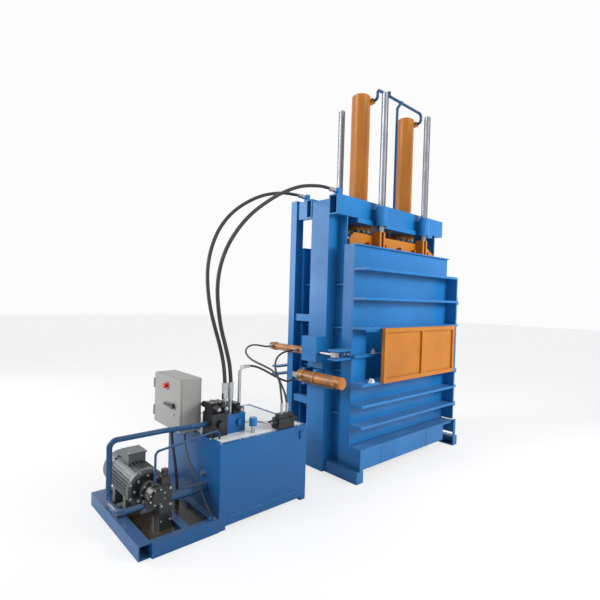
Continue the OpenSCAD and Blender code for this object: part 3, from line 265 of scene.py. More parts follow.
def moulded(name, colour, gloss, grain=220.0, relief=0.15, dust=0.12):
    """Plastic or rubber with a fine moulded grain."""
    material, tree, shader = new_material(name)
    tone = place_group(material, WEATHERING, Base=colour, Shade=tuple(c * 1.5 for c in colour), Dust=dust,
                       Grime=0.1, Patch_size=6.0, Gloss_low=gloss[0], Gloss_high=gloss[1])
    tree.links.new(tone.outputs["Color"], shader.inputs["Base Color"])
    tree.links.new(tone.outputs["Roughness"], shader.inputs["Roughness"])
    add_relief(material, shader, relief, depth=0.001, Grain_size=grain, Wave_size=10.0, Wave=0.2)
    return material


blue_paint = painted("blue_enamel", BLUE)
orange_paint = painted("orange_enamel", ORANGE, scuffs=0.3)
oily_orange = painted("oily_orange_enamel", ORANGE, shade=0.45, coat=0.4, scuffs=0.7, patch=7.0)
lid_paint = painted("lid_enamel", LID_WHITE, shade=0.9, coat=0.1, dust=0.15, scuffs=0.25, bare=BLUE)
cabinet_paint = painted("cabinet_powder_coat", CABINET_GREY, shade=0.9, gloss=(0.42, 0.52), coat=0.0,
                        scuffs=0.1)
motor_paint = painted("motor_enamel", MOTOR_GREY, gloss=(0.35, 0.5), coat=0.1, scuffs=0.3)
zinc_paint = painted("pale_zinc", PALE_ZINC, gloss=(0.3, 0.4), scuffs=0.1)
pump_paint = painted("pump_enamel", PUMP_BLACK, gloss=(0.25, 0.4), coat=0.3, scuffs=0.4)
unit_paint = painted("unit_enamel", UNIT_BLUE)
pipe_paint = painted("pipe_enamel", PIPE_BLUE, coat=0.2)
tray_paint = painted("oily_tray", TRAY_BROWN, gloss=(0.15, 0.45), coat=0.3, dust=0.1, scuffs=0.1)
valve_metal = metal("valve_steel", VALVE_STEEL, gloss=(0.35, 0.5))
bright_metal = metal("zinc_plate", BRIGHT_STEEL, gloss=(0.28, 0.42))
rod_chrome = metal("rod_chrome", CHROME, gloss=(0.34, 0.40), relief=0.0, grime=0.0)
hose_rubber = moulded("hose_rubber", HOSE_BLACK, gloss=(0.38, 0.55))
black_plastic = moulded("black_plastic", PLASTIC_BLACK, gloss=(0.4, 0.5))
red_plastic = moulded("red_plastic", BUTTON_RED, gloss=(0.18, 0.26), relief=0.05, dust=0.02)


def paint_edge_shade(material, dark, low, high):
    """Paints shade on a material where it is seen edge on: its colour turns darker there."""
    tree = material.node_tree
    socket = tree.nodes["Principled BSDF"].inputs["Base Color"]
    seen = tree.nodes.new("ShaderNodeLayerWeight").outputs["Facing"]
    tree.links.new(blend_colour(tree, remap(tree, seen, low, high), socket.links[0].from_socket, dark), socket)


def rim(material, colour, low, high, width):
    """Turns a material towards a colour along the rim of a flat box."""
    tree = material.node_tree
    socket = tree.nodes["Principled BSDF"].inputs["Base Color"]
    place = tree.nodes.new("ShaderNodeSeparateXYZ")
    tree.links.new(tree.nodes.new("ShaderNodeTexCoord").outputs["Object"], place.inputs[0])
    near = 0.0
    for axis in (0, 1):
        middle, half = (low[axis] + high[axis]) / 2, (high[axis] - low[axis]) / 2
        off = maths(tree, "ABSOLUTE", maths(tree, "SUBTRACT", place.outputs[axis], middle), 0.0)
        near = maths(tree, "MAXIMUM", remap(tree, off, half - width, half - 0.5 * width), near)
    tree.links.new(blend_colour(tree, near, socket.links[0].from_socket, colour), socket)


# Painted shade on the guide rods: their colour turns darker where they are seen edge on, and a dark specular tint
# darkens their reflection there
paint_edge_shade(rod_chrome, CHROME_EDGE_SHADE, low=0.35, high=0.9)
rod_chrome.node_tree.nodes["Principled BSDF"].inputs["Specular Tint"].default_value = (*CHROME_EDGE_SHADE, 1.0)
lid_low, lid_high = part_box("tank_lid")
rim(lid_paint, UNIT_BLUE, lid_low, lid_high, width=0.05)

FINISH_OF_SLOT = {
    "blue_paint": blue_paint, "orange_paint": orange_paint, "lid_paint": lid_paint,
    "cabinet_grey": cabinet_paint, "motor_grey": motor_paint, "tray_brown": tray_paint,
    "valve_steel": valve_metal, "bare_steel": bright_metal, "polished_rod": rod_chrome,
    "hose_rubber": hose_rubber, "black_plastic": black_plastic, "red_plastic": red_plastic,
}
FINISH_OF_NODE = {
    "bell_housing": pump_paint, "hydraulic_pump": pump_paint, "pump_pipes": pipe_paint,
    "crossover_pipe": pipe_paint, "front_clamp_cylinder": oily_orange, "oil_tank": unit_paint,
    "power_skid": unit_paint, "valve_base": unit_paint,
}
for subpart in frame["record"]["subparts"]:
    piece = nodes[subpart["node"]]
    finish = FINISH_OF_NODE.get(subpart["node"], FINISH_OF_SLOT[subpart["material_slot"]])
    for place in piece.material_slots:
        place.material = finish
    if not piece.material_slots:
        piece.data.materials.append(finish)


def refinish(node, finish, chosen):
    """Gives the faces of a CAD node whose middles are chosen another finish."""
    mesh = nodes[node].data
    mesh.materials.append(finish)
    for face in mesh.polygons:
        if chosen(face.center):
            face.material_index = len(mesh.materials) - 1


def within(place, x, y, reach):
    """Whether a place lies within a reach of an upright axis."""
    return math.hypot(place.x - x, place.y - y) < reach


# Breather on the lid, ports of the main hoses, and the clamp manifold's hose ports and feed pipe
BREATHER_X, BREATHER_Y, BREATHER_REACH, BREATHER_LOW = -2.177, -0.348, 0.05, 0.75
PORTS_X, PORTS_Y, PORT_REACH, PORT_LOW, PORT_LEFT = (-2.380, -2.320), -0.200, 0.0245, 0.872, -2.399
CLAMP_PORT_LOW, FEED_PIPE_RIGHT = 0.842, -2.011
refinish("tank_fittings", blue_paint,
         lambda p: p.z > BREATHER_LOW and within(p, BREATHER_X, BREATHER_Y, BREATHER_REACH))
refinish("main_manifold", bright_metal,
         lambda p: p.z > PORT_LOW and p.x > PORT_LEFT and any(within(p, x, PORTS_Y, PORT_REACH) for x in PORTS_X))
refinish("clamp_manifold", bright_metal, lambda p: p.z > CLAMP_PORT_LOW or p.x < FEED_PIPE_RIGHT)


def new_tree(name, sizes):
    """A Geometry Nodes tree with a named input for each size and for its finish, and its two ends."""
    tree = bpy.data.node_groups.new(name, "GeometryNodeTree")
    tree.interface.new_socket("Geometry", in_out="INPUT", socket_type="NodeSocketGeometry")
    for label, default in sizes.items():
        tree.interface.new_socket(label, in_out="INPUT", socket_type="NodeSocketFloat").default_value = default
    tree.interface.new_socket("Finish", in_out="INPUT", socket_type="NodeSocketMaterial")
    tree.interface.new_socket("Geometry", in_out="OUTPUT", socket_type="NodeSocketGeometry")
    return tree, tree.nodes.new("NodeGroupInput"), tree.nodes.new("NodeGroupOutput")


def close_tree(tree, start, end, geometry):
    """Realizes what a tree has made and gives it the finish."""
    real = tree.nodes.new("GeometryNodeRealizeInstances")
    coated = tree.nodes.new("GeometryNodeSetMaterial")
    tree.links.new(geometry, real.inputs["Geometry"])
    tree.links.new(real.outputs["Geometry"], coated.inputs["Geometry"])
    tree.links.new(start.outputs["Finish"], coated.inputs["Material"])
    tree.links.new(coated.outputs["Geometry"], end.inputs["Geometry"])


def drum(tree, sides, radius, height, low):
    """A capped cylinder that stands on a level."""
    body = tree.nodes.new("GeometryNodeMeshCylinder")
    body.inputs["Vertices"].default_value = sides
    feed(tree, radius, body.inputs["Radius"])
    feed(tree, height, body.inputs["Depth"])
    lift = tree.nodes.new("ShaderNodeCombineXYZ")
    feed(tree, maths(tree, "ADD", low, multiply(tree, height, 0.5)), lift.inputs["Z"])
    placed = tree.nodes.new("GeometryNodeTransform")
    tree.links.new(body.outputs["Mesh"], placed.inputs["Geometry"])
    tree.links.new(lift.outputs["Vector"], placed.inputs["Translation"])
    return placed.outputs["Geometry"]


def attribute(tree, name, kind):
    """A named attribute of the points."""
    node = tree.nodes.new("GeometryNodeInputNamedAttribute")
    node.data_type = kind
    node.inputs["Name"].default_value = name
    return node.outputs["Attribute"]


def stand_on_points(tree, start, end, parts):
    """Stands the parts on each point, turned to its facing and scaled by its size."""
    joined = tree.nodes.new("GeometryNodeJoinGeometry")
    for part in parts:
        tree.links.new(part, joined.inputs["Geometry"])
    points = tree.nodes.new("GeometryNodeMeshToPoints")
    tree.links.new(start.outputs["Geometry"], points.inputs["Mesh"])
    turn = tree.nodes.new("FunctionNodeAlignRotationToVector")
    turn.axis = "Z"
    tree.links.new(attribute(tree, "facing", "FLOAT_VECTOR"), turn.inputs["Vector"])
    stood = tree.nodes.new("GeometryNodeInstanceOnPoints")
    tree.links.new(points.outputs["Points"], stood.inputs["Points"])
    tree.links.new(joined.outputs["Geometry"], stood.inputs["Instance"])
    tree.links.new(turn.outputs["Rotation"], stood.inputs["Rotation"])
    tree.links.new(attribute(tree, "size", "FLOAT"), stood.inputs["Scale"])
    close_tree(tree, start, end, stood.outputs["Instances"])
    return tree


def hex_bolt_tree():
    """A washer and a hex head with a raised middle."""
    tree, start, end = new_tree(
        "hex_bolts",
        {"Washer radius": 0.016, "Washer height": 0.003, "Head radius": 0.0125, "Head height": 0.009})
    washer_r, washer_h, head_r, head_h = (start.outputs[i] for i in range(1, 5))
    crown_low = maths(tree, "ADD", washer_h, head_h)
    return stand_on_points(tree, start, end, [
        drum(tree, 20, washer_r, washer_h, 0.0), drum(tree, 6, head_r, head_h, washer_h),
        drum(tree, 16, multiply(tree, head_r, 0.72), multiply(tree, head_h, 0.12), crown_low)])


def hose_end_tree():
    """A hex nut and a crimped sleeve with three rings, for a hose of radius one."""
    tree, start, end = new_tree(
        "hose_ends", {"Nut radius": 1.75, "Nut length": 1.5, "Sleeve radius": 1.34, "Sleeve length": 3.6})
    nut_r, nut_l, sleeve_r, sleeve_l = (start.outputs[i] for i in range(1, 5))
    parts = [drum(tree, 6, nut_r, nut_l, 0.0), drum(tree, 24, sleeve_r, sleeve_l, nut_l)]
    for share in (0.12, 0.42, 0.72):
        low = maths(tree, "ADD", nut_l, multiply(tree, sleeve_l, share))
        parts.append(drum(tree, 24, multiply(tree, sleeve_r, 1.09), multiply(tree, sleeve_l, 0.17), low))
    return stand_on_points(tree, start, end, parts)


def guide_rod_tree():
    """A straight rod with a reduced end."""
    tree, start, end = new_tree("guide_rods", {"Rod radius": 0.038, "Rod length": 1.5, "End length": 0.012})
    rod_r, rod_l, end_l = (start.outputs[i] for i in range(1, 4))
    return stand_on_points(tree, start, end, [
        drum(tree, 48, rod_r, rod_l, 0.0), drum(tree, 48, multiply(tree, rod_r, 0.84), end_l, rod_l)])


def path_tree(name, sizes, sides, shape_path):
    """A round bar along every edge path of a mesh; its first size is the bar's radius."""
    tree, start, end = new_tree(name, sizes)
    line = tree.nodes.new("GeometryNodeMeshToCurve")
    tree.links.new(start.outputs["Geometry"], line.inputs["Mesh"])
    profile = tree.nodes.new("GeometryNodeCurvePrimitiveCircle")
    profile.inputs["Resolution"].default_value = sides
    tree.links.new(start.outputs[1], profile.inputs["Radius"])
    swept = tree.nodes.new("GeometryNodeCurveToMesh")
    swept.inputs["Fill Caps"].default_value = True
    tree.links.new(shape_path(tree, start, line.outputs["Curve"]), swept.inputs["Curve"])
    tree.links.new(profile.outputs["Curve"], swept.inputs["Profile Curve"])
    close_tree(tree, start, end, swept.outputs["Mesh"])
    return tree


def rippled(tree, start, curve):
    """The path in short steps, thick and thin by turns as a hand weld is."""
    steps = tree.nodes.new("GeometryNodeResampleCurve")
    steps.mode = "LENGTH"
    tree.links.new(curve, steps.inputs["Curve"])
    tree.links.new(start.outputs["Ripple pitch"], steps.inputs["Length"])
    turn = maths(tree, "MODULO", tree.nodes.new("GeometryNodeInputIndex").outputs["Index"], 2.0)
    thick = maths(tree, "SUBTRACT", 1.0, multiply(tree, turn, start.outputs["Ripple"]))
    sized = tree.nodes.new("GeometryNodeSetCurveRadius")
    tree.links.new(steps.outputs["Curve"], sized.inputs["Curve"])
    tree.links.new(thick, sized.inputs["Radius"])
    return sized.outputs["Curve"]


def rounded(tree, start, curve):
    """The path with rounded corners."""
    bent = tree.nodes.new("GeometryNodeFilletCurve")
    bent.mode = "POLY"
    bent.inputs["Count"].default_value = 8
    bent.inputs["Limit Radius"].default_value = True
    tree.links.new(curve, bent.inputs["Curve"])
    tree.links.new(start.outputs["Bend radius"], bent.inputs["Radius"])
    return bent.outputs["Curve"]


HEX_BOLTS = hex_bolt_tree()
HOSE_ENDS = hose_end_tree()
GUIDE_RODS = guide_rod_tree()
WELD_BEADS = path_tree("weld_beads", {"Bead radius": 0.005, "Ripple pitch": 0.010, "Ripple": 0.22}, 6, rippled)
BENT_PIPES = path_tree("bent_pipes", {"Pipe radius": 0.008, "Bend radius": 0.02}, 16, rounded)
SMOOTH_ANGLE = math.radians(35)


def point_mesh(name, points):
    """Loose points, each with the way it faces and its size."""
    mesh = bpy.data.meshes.new(name)
    mesh.from_pydata([tuple(place) for place, _, _ in points], [], [])
    mesh.attributes.new("facing", "FLOAT_VECTOR", "POINT")
    mesh.attributes.new("size", "FLOAT", "POINT")
    for i, (_, way, scale) in enumerate(points):
        mesh.attributes["facing"].data[i].vector = way
        mesh.attributes["size"].data[i].value = scale
    return mesh


def path_mesh(name, paths):
    """Open paths of edges."""
    mesh = bpy.data.meshes.new(name)
    points, edges = [], []
    for path in paths:
        edges += [(len(points) + i, len(points) + i + 1) for i in range(len(path) - 1)]
        points += path
    mesh.from_pydata(points, edges, [])
    return mesh


def place_object(name, data):
    """A new object in the scene, at the origin."""
    item = bpy.data.objects.new(name, data)
    bpy.context.collection.objects.link(item)
    return item


def settle(piece, body, stands_for=None):
    """Puts a finished piece on its body and the CAD node that it stands for."""
    piece.data.shade_smooth()
    piece.data.set_sharp_from_angle(angle=SMOOTH_ANGLE)
    if stands_for:
        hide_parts(stands_for)
    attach(piece, body)
    return piece


def grow(name, mesh, tree, body, slot, finish, stands_for=None, **sizes):
    """Runs a tree on a mesh and keeps the result as a plain mesh on a body."""
    piece = place_object(name, mesh)
    modifier = piece.modifiers.new(name, "NODES")
    modifier.node_group = tree
    values = {label.replace("_", " "): value for label, value in sizes.items()}
    values["Finish"] = finish
    for item in tree.interface.items_tree:
        if item.in_out == "INPUT" and item.name in values:
            modifier[item.identifier] = values[item.name]
    view = bpy.context.evaluated_depsgraph_get()
    solid = bpy.data.meshes.new_from_object(piece.evaluated_get(view))
    piece.modifiers.remove(modifier)
    piece.data = solid
    return settle(piece, body, stands_for)


def make_piece(name, parts, body, finish, stands_for=None):
    """One piece of several closed shapes, each a list of points and a list of faces."""
    points, faces = [], []
    for part_points, part_faces in parts:
        faces += [tuple(len(points) + i for i in face) for face in part_faces]
        points += part_points
    mesh = bpy.data.meshes.new(name)
    mesh.from_pydata(points, [], faces)
    mesh.materials.append(finish)
    piece = place_object(name, mesh)
    return settle(piece, body, stands_for)


def plate(low, high):
    """A plate between two corners."""
    (x0, y0, z0), (x1, y1, z1) = low, high
    points = [(x, y, z) for z in (z0, z1) for x, y in ((x0, y0), (x1, y0), (x1, y1), (x0, y1))]
    return points, [(0, 3, 2, 1), (4, 5, 6, 7), (0, 1, 5, 4), (1, 2, 6, 5), (2, 3, 7, 6), (3, 0, 4, 7)]


def wedge(low, high):
    """A triangular lug with its ridge over the middle of its length."""
    (x0, y0, z0), (x1, y1, z1) = low, high
    ends = [(x0, z0), (x1, z0), ((x0 + x1) / 2, z1)]
    points = [(x, y, z) for y in (y0, y1) for x, z in ends]
    return points, [(0, 1, 2), (3, 5, 4), (0, 3, 4, 1), (1, 4, 5, 2), (0, 2, 5, 3)]


def turned(profile, origin, axis, sides=48):
    """A turned shape: a closed profile of (along, radius) round an axis from an origin; radius 0 is a pole."""
    way = Vector(axis).normalized()
    side = way.orthogonal().normalized()
    other = way.cross(side)
    points, rings = [], []
    for along, radius in profile:
        middle = Vector(origin) + way * along
        count = sides if radius else 1
        rings.append(range(len(points), len(points) + count))
        for i in range(count):
            angle = 2 * math.pi * i / sides
            points.append(tuple(middle + radius * (math.cos(angle) * side + math.sin(angle) * other)))
    faces = []
    for a, b in zip(rings, rings[1:] + rings[:1]):
        for i in range(sides):
            j = (i + 1) % sides
            corners = [a[i % len(a)], a[j % len(a)], b[j % len(b)], b[i % len(b)]]
            corners = list(dict.fromkeys(corners))
            if len(corners) > 2:
                faces.append(tuple(corners))
    return points, faces


# Ways a piece faces
UP, DOWN = (0, 0, 1), (0, 0, -1)
FRONT, REAR = (0, -1, 0), (0, 1, 0)
LEFT, RIGHT = (-1, 0, 0), (1, 0, 0)


def bolt_circle(centre, facing, radius, count, size, first=0.0):
    """Bolts on a circle round a centre, all facing one way."""
    way = Vector(facing)
    side = way.orthogonal().normalized()
    other = way.cross(side)
    angles = [first + 2 * math.pi * i / count for i in range(count)]
    return [(Vector(centre) + radius * (math.cos(a) * side + math.sin(a) * other), facing, size)
            for a in angles]


def bolt_row(start, end, count, facing, size):
    """Bolts in a row between two places."""
    return [(Vector(start).lerp(Vector(end), i / (count - 1)), facing, size) for i in range(count)]


def bolt_grid(xs, ys, zs, facing, size):
    """Bolts at every crossing of three sets of places, all facing one way."""
    return [((x, y, z), facing, size) for x in xs for y in ys for z in zs]


def set_bolts(name, bolts, body):
    """Hex bolts at their places on a body."""
    grow(name, point_mesh(name, bolts), HEX_BOLTS, body, "bare_steel", bright_metal)


def run_welds(name, paths, body):
    """Weld beads along paths on a body."""
    grow(name, path_mesh(name, paths), WELD_BEADS, body, "blue_paint", blue_paint)


def both_sides(low, high):
    """A plate on the right of the press and its mirror on the left."""
    (x0, y0, z0), (x1, y1, z1) = low, high
    return [plate(low, high), plate((-x1, y0, z0), (-x0, y1, z1))]


# Guide rods that end on the platen's seats
GUIDE_X, GUIDE_Y, GUIDE_R = 0.440, 0.330, 0.038
ROD_FOOT, ROD_END = 2.660, 0.012
rod_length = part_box("guide_rods")[1].z - ROD_END - ROD_FOOT
rod_points = [((x, y, ROD_FOOT), UP, 1.0) for x in (-GUIDE_X, GUIDE_X) for y in (-GUIDE_Y, GUIDE_Y)]
grow("guide_rod_set", point_mesh("guide_rod_set", rod_points), GUIDE_RODS, "pressing_group", "polished_rod",
     rod_chrome, stands_for="guide_rods", Rod_radius=GUIDE_R, Rod_length=rod_length, End_length=ROD_END)

# Plates of the frame: the apron under the crown's rear, strips by the rear posts, sills and corner webs
PLATE_T = 0.014
APRON_HALF, APRON_Y, APRON_DROP = 0.880, 0.249, 0.066
STRIP_REACH, STRIP_TOP = 0.034, 2.480
SILL_IN, SILL_OUT, SILL_LOW, SILL_TOP = 0.880, 0.960, 0.104, 0.119
WEB_IN, WEB_FRONT, WEB_LOW, WEB_TOP = 0.930, -0.559, 0.176, 0.338
crown_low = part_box("crown_bed")[0].z
wall_x, wall_end, wall_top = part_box("side_walls")[1]
foot_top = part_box("foot_channels")[1].z
column_front, column_rear = (corner.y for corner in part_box("side_columns"))
frame_plates = [plate((-APRON_HALF, APRON_Y, crown_low - APRON_DROP), (APRON_HALF, APRON_Y + PLATE_T, crown_low))]
frame_plates += both_sides((wall_x - PLATE_T, wall_end, foot_top), (wall_x, wall_end + STRIP_REACH, STRIP_TOP))
frame_plates += both_sides((SILL_IN, -wall_end, SILL_LOW), (SILL_OUT, column_front, SILL_TOP))
frame_plates += both_sides((WEB_IN, WEB_FRONT, WEB_LOW), (WEB_IN + PLATE_T, -wall_end, WEB_TOP))
make_piece("frame_closing_plates", frame_plates, "press_frame", blue_paint)

# Plates that close the lower hinge ends of the doors, under the lowest rib
END_IN, END_OUT, END_LOW = 0.930, 0.950, 0.350
ribs_low, ribs_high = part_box("front_door_ribs")
door_face, rib_face, lowest_rib = -ribs_high.y, -ribs_low.y, ribs_low.z
for name, body, front, rear in (("front_door_end_plate", "front_bale_door", -rib_face, -door_face),
                                ("rear_door_end_plate", "rear_bale_door", door_face, rib_face)):
    make_piece(name, [plate((END_IN, front, END_LOW), (END_OUT, rear, lowest_rib))], body,
               blue_paint)

# Fork of the front door: a short channel on the door's edge, as deep as the door
FORK_WEB, FORK_FLANGE, FORK_STEP = 0.016, 0.020, 0.010
(fork_left, _, fork_low), (fork_right, fork_rear, fork_top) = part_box("front_door_fork")
fork_back = fork_right - FORK_WEB
make_piece("door_clamp_fork", [
    plate((fork_back, -door_face, fork_low), (fork_right, fork_rear - FORK_STEP, fork_top)),
    plate((fork_left, -door_face, fork_low), (fork_back, fork_rear, fork_low + FORK_FLANGE)),
    plate((fork_left, -door_face, fork_top - FORK_FLANGE), (fork_back, fork_rear, fork_top))],
    "front_bale_door", blue_paint, stands_for="front_door_fork")

# Rear clamp barrel: a head, two collars in the saddles and a closed end, with a stub at each hose port
CLAMP_X, CLAMP_Z = -1.150, 1.030
BARREL_L, BARREL_R, BORE_R, END_WALL, CHAMFER = 0.630, 0.064, 0.0585, 0.009, 0.006
HEAD_L, HEAD_R, HEAD_DEPTH, ROD_HOLE_R = 0.030, 0.072, 0.090, 0.0302
COLLARS, COLLAR_L, COLLAR_R = (0.035, 0.215), 0.050, 0.0718
STUBS, STUB_R, STUB_X = ((0.080, 0.058), (-0.390, 0.035)), 0.016, -1.212
barrel = [(0.0, ROD_HOLE_R), (0.0, HEAD_R), (HEAD_L, HEAD_R), (HEAD_L, BARREL_R)]
for along in COLLARS:
    barrel += [(along, BARREL_R), (along, COLLAR_R), (along + COLLAR_L, COLLAR_R), (along + COLLAR_L, BARREL_R)]
barrel += [(BARREL_L - CHAMFER, BARREL_R), (BARREL_L, BARREL_R - CHAMFER), (BARREL_L, 0.0)]
barrel += [(BARREL_L - END_WALL, 0.0), (BARREL_L - END_WALL, BORE_R), (HEAD_DEPTH, BORE_R)]
barrel.append((HEAD_DEPTH, ROD_HOLE_R))
clamp_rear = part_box("rear_clamp_cylinder")[1].y
clamp_parts = [turned(barrel, (CLAMP_X, clamp_rear, CLAMP_Z), FRONT)]
for y, reach in STUBS:
    stub = [(0.0, 0.0), (0.0, STUB_R), (reach, STUB_R), (reach, 0.0)]
    clamp_parts.append(turned(stub, (STUB_X, y, CLAMP_Z), LEFT, sides=24))
make_piece("rear_clamp_barrel", clamp_parts, "press_frame", oily_orange,
           stands_for="rear_clamp_cylinder")

# Pipe along the rear clamp barrel
PIPE_X, PIPE_Z, PIPE_END_X, PIPE_END_Z = -1.206, 0.974, -1.175, 0.998
PIPE_REAR, PIPE_FRONT = 0.060, -0.390
barrel_pipe = [(PIPE_END_X, PIPE_REAR, PIPE_END_Z), (PIPE_X, PIPE_REAR, PIPE_Z), (PIPE_X, PIPE_FRONT, PIPE_Z),
               (PIPE_END_X, PIPE_FRONT, PIPE_END_Z)]
grow("rear_clamp_pipe", path_mesh("rear_clamp_pipe", [barrel_pipe]), BENT_PIPES, "press_frame", "black_plastic",
     hose_rubber, Pipe_radius=0.0095, Bend_radius=0.025)

# Bright stop lugs on the feed door's lower rail and the middle bar
RAIL_LUG = ((-0.800, -0.546, 1.012), (-0.741, -0.496, 1.058))
BAR_LUG = ((-0.656, -0.429, 1.299), (-0.594, -0.400, 1.356))
make_piece("feed_stop_lugs", [wedge(*RAIL_LUG), wedge(*BAR_LUG)], "front_bale_door", zinc_paint)

# Red collar behind the stop button
CABINET_FACE = -2.718
RING_R, RING_FACE_R, RING_HOLE_R, RING_T = 0.038, 0.036, 0.0225, 0.004
ring = [(0.0, RING_HOLE_R), (0.0, RING_R), (RING_T, RING_FACE_R), (RING_T, RING_HOLE_R)]
button_low, button_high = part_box("stop_button")
_, button_y, button_z = (button_low + button_high) / 2
make_piece("stop_button_collar", [turned(ring, (CABINET_FACE, button_y, button_z), LEFT)], "control_door",
           red_plastic)


def flange_bolts():
    """Bolts up into the flanges of the main cylinders."""
    bolts = []
    for cylinder in ("left_main_cylinder", "right_main_cylinder"):
        low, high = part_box(cylinder)
        x, y, _ = (low + high) / 2
        bolts += bolt_circle((x, y, low.z), DOWN, radius=0.133, count=12, size=1.3)
    return bolts


def motor_bolts():
    """Bolts of the motor, its terminal box, the bell housing and the pump with its bracket."""
    motor_x, motor_z, block_left, eighth = -3.0, 0.352, -2.985, math.pi / 8
    feet_x, feet_y, feet_top = 0.145, (0.090, 0.330), 0.136
    bracket_x, bracket_face, bracket_z = (-2.966, -2.894), -0.280, (0.150, 0.270, 0.395)
    box_inset = 0.010
    bolts = []
    for y, radius, size, first in ((-0.086, 0.137, 0.6, eighth), (-0.104, 0.104, 0.75, 0.0),
                                   (-0.290, 0.058, 0.45, eighth)):
        bolts += bolt_circle((motor_x, y, motor_z), FRONT, radius, 8, size, first)
    port_ring = bolt_circle((motor_x, -0.186, motor_z), FRONT, radius=0.077, count=8, size=0.5)
    bolts += [bolt for bolt in port_ring if bolt[0].x < block_left]
    bolts += bolt_grid((motor_x - feet_x, motor_x + feet_x), feet_y, (feet_top,), UP, size=1.2)
    low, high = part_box("terminal_box")
    bolts += bolt_grid((low.x + box_inset, high.x - box_inset), (low.y + box_inset, high.y - box_inset),
                       (high.z,), UP, size=0.45)
    return bolts + bolt_grid(bracket_x, (bracket_face,), bracket_z, FRONT, size=0.6)


def valve_bolts():
    """End nuts and small screws of the solenoid valves, and bolts of the clamp manifold."""
    valves = ((-2.503, 0.946), (-2.431, 0.946), (-2.278, 0.916))
    screw_x, screws_y, valve_half, nut_size = 0.019, (-0.238, -0.146), 0.038, 0.9
    spool_left, spool_right, spool_y, spool_z = -2.010, -1.730, -0.400, 0.770
    body_x, body_y, body_top = (-1.945, -1.795), -0.353, 0.800
    low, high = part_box("main_manifold")
    bolts = []
    for x, z in valves:
        bolts += [((x, low.y, z), FRONT, nut_size), ((x, high.y, z), REAR, nut_size)]
        bolts += bolt_grid((x - screw_x, x + screw_x), screws_y, (z + valve_half,), UP, size=0.4)
    for x, facing in ((spool_left, LEFT), (spool_right, RIGHT)):
        bolts.append(((x, spool_y, spool_z), facing, nut_size))
    return bolts + bolt_grid(body_x, (body_y,), (body_top,), UP, size=0.6)


def lid_bolts():
    """Bolts round the edge of the tank's lid, clear of the clamp manifold."""
    inset, size, z = 0.014, 0.6, lid_high.z
    gap_left, gap_right, row_front, row_rear = -2.020, -1.735, -0.282, 0.326
    left, right, front, rear = lid_low.x + inset, lid_high.x - inset, lid_low.y + inset, lid_high.y - inset
    bolts = bolt_row((left, front, z), (gap_left, front, z), 4, UP, size)
    bolts += bolt_row((gap_right, front, z), (right, front, z), 2, UP, size)
    bolts += bolt_row((left, rear, z), (right, rear, z), 7, UP, size)
    for x in (left, right):
        bolts += bolt_row((x, row_front, z), (x, row_rear, z), 5, UP, size)
    return bolts


FORK_BOLTS_Y = (-0.362, -0.312)
SKID_BOLT = ((-2.590, -0.426, 0.110), UP, 0.8)
LOCK = ((CABINET_FACE, 0.060, 0.855), LEFT, 0.8)
set_bolts("frame_bolts", flange_bolts() + motor_bolts() + valve_bolts() + [SKID_BOLT] + lid_bolts(),
          "press_frame")
set_bolts("fork_bolts", bolt_grid((fork_back,), FORK_BOLTS_Y, ((fork_low + fork_top) / 2,), LEFT, size=0.95),
          "front_bale_door")
set_bolts("cabinet_lock", [LOCK], "control_door")

# Weld beads along the ribs of the doors; on the front door none runs behind the feed door
TOP_RIB, TOP_PITCH, LOW_RIB, LOW_PITCH, RIB_HALF = 2.213, 0.310, 1.000, 0.222, 0.014
RIBS = [first - pitch * i for first, pitch in ((TOP_RIB, TOP_PITCH), (LOW_RIB, LOW_PITCH)) for i in range(3)]
FEED_LOW, FEED_TOP = 1.00, 1.59
WELD_LEFT, WELD_RIGHT, HINGE_WELD_X = -0.948, 0.928, 0.930
HINGE_WELD_LOW, HINGE_WELD_TOP = 0.36, 2.20
for name, body, y in (("front_door_welds", "front_bale_door", -door_face),
                      ("rear_door_welds", "rear_bale_door", door_face)):
    levels = [rib + half for rib in RIBS for half in (-RIB_HALF, RIB_HALF)]
    beads = [[(WELD_LEFT, y, z), (WELD_RIGHT, y, z)] for z in levels if y > 0 or not FEED_LOW < z < FEED_TOP]
    beads.append([(HINGE_WELD_X, y, HINGE_WELD_LOW), (HINGE_WELD_X, y, HINGE_WELD_TOP)])
    run_welds(name, beads, body)

# Weld beads of the skirt's joints, the columns and the tank's foot
SKIRT_JOINTS, SKIRT_LOW, SKIRT_TOP = (-0.601, 0.295), 0.125, 0.304
COLUMN_IN, COLUMN_OUT, COLUMN_LOW, COLUMN_TOP = 0.90, 1.06, 0.125, 2.47
STITCHES, STITCH_L, STITCH_Y, STITCH_Z = (-2.46, -2.26, -2.06, -1.86), 0.11, -0.450, 0.10
frame_welds = [[(x, -rib_face, SKIRT_LOW), (x, -rib_face, SKIRT_TOP)] for x in SKIRT_JOINTS]
for side in (-1, 1):
    inner, outer = side * COLUMN_IN, side * COLUMN_OUT
    for y in (column_front, column_rear):
        frame_welds.append([(inner, y, COLUMN_LOW), (inner, y, COLUMN_TOP)])
        frame_welds.append([(inner, y, wall_top), (outer, y, wall_top)])
frame_welds += [[(x, STITCH_Y, STITCH_Z), (x + STITCH_L, STITCH_Y, STITCH_Z)] for x in STITCHES]
run_welds("frame_welds", frame_welds, "press_frame")


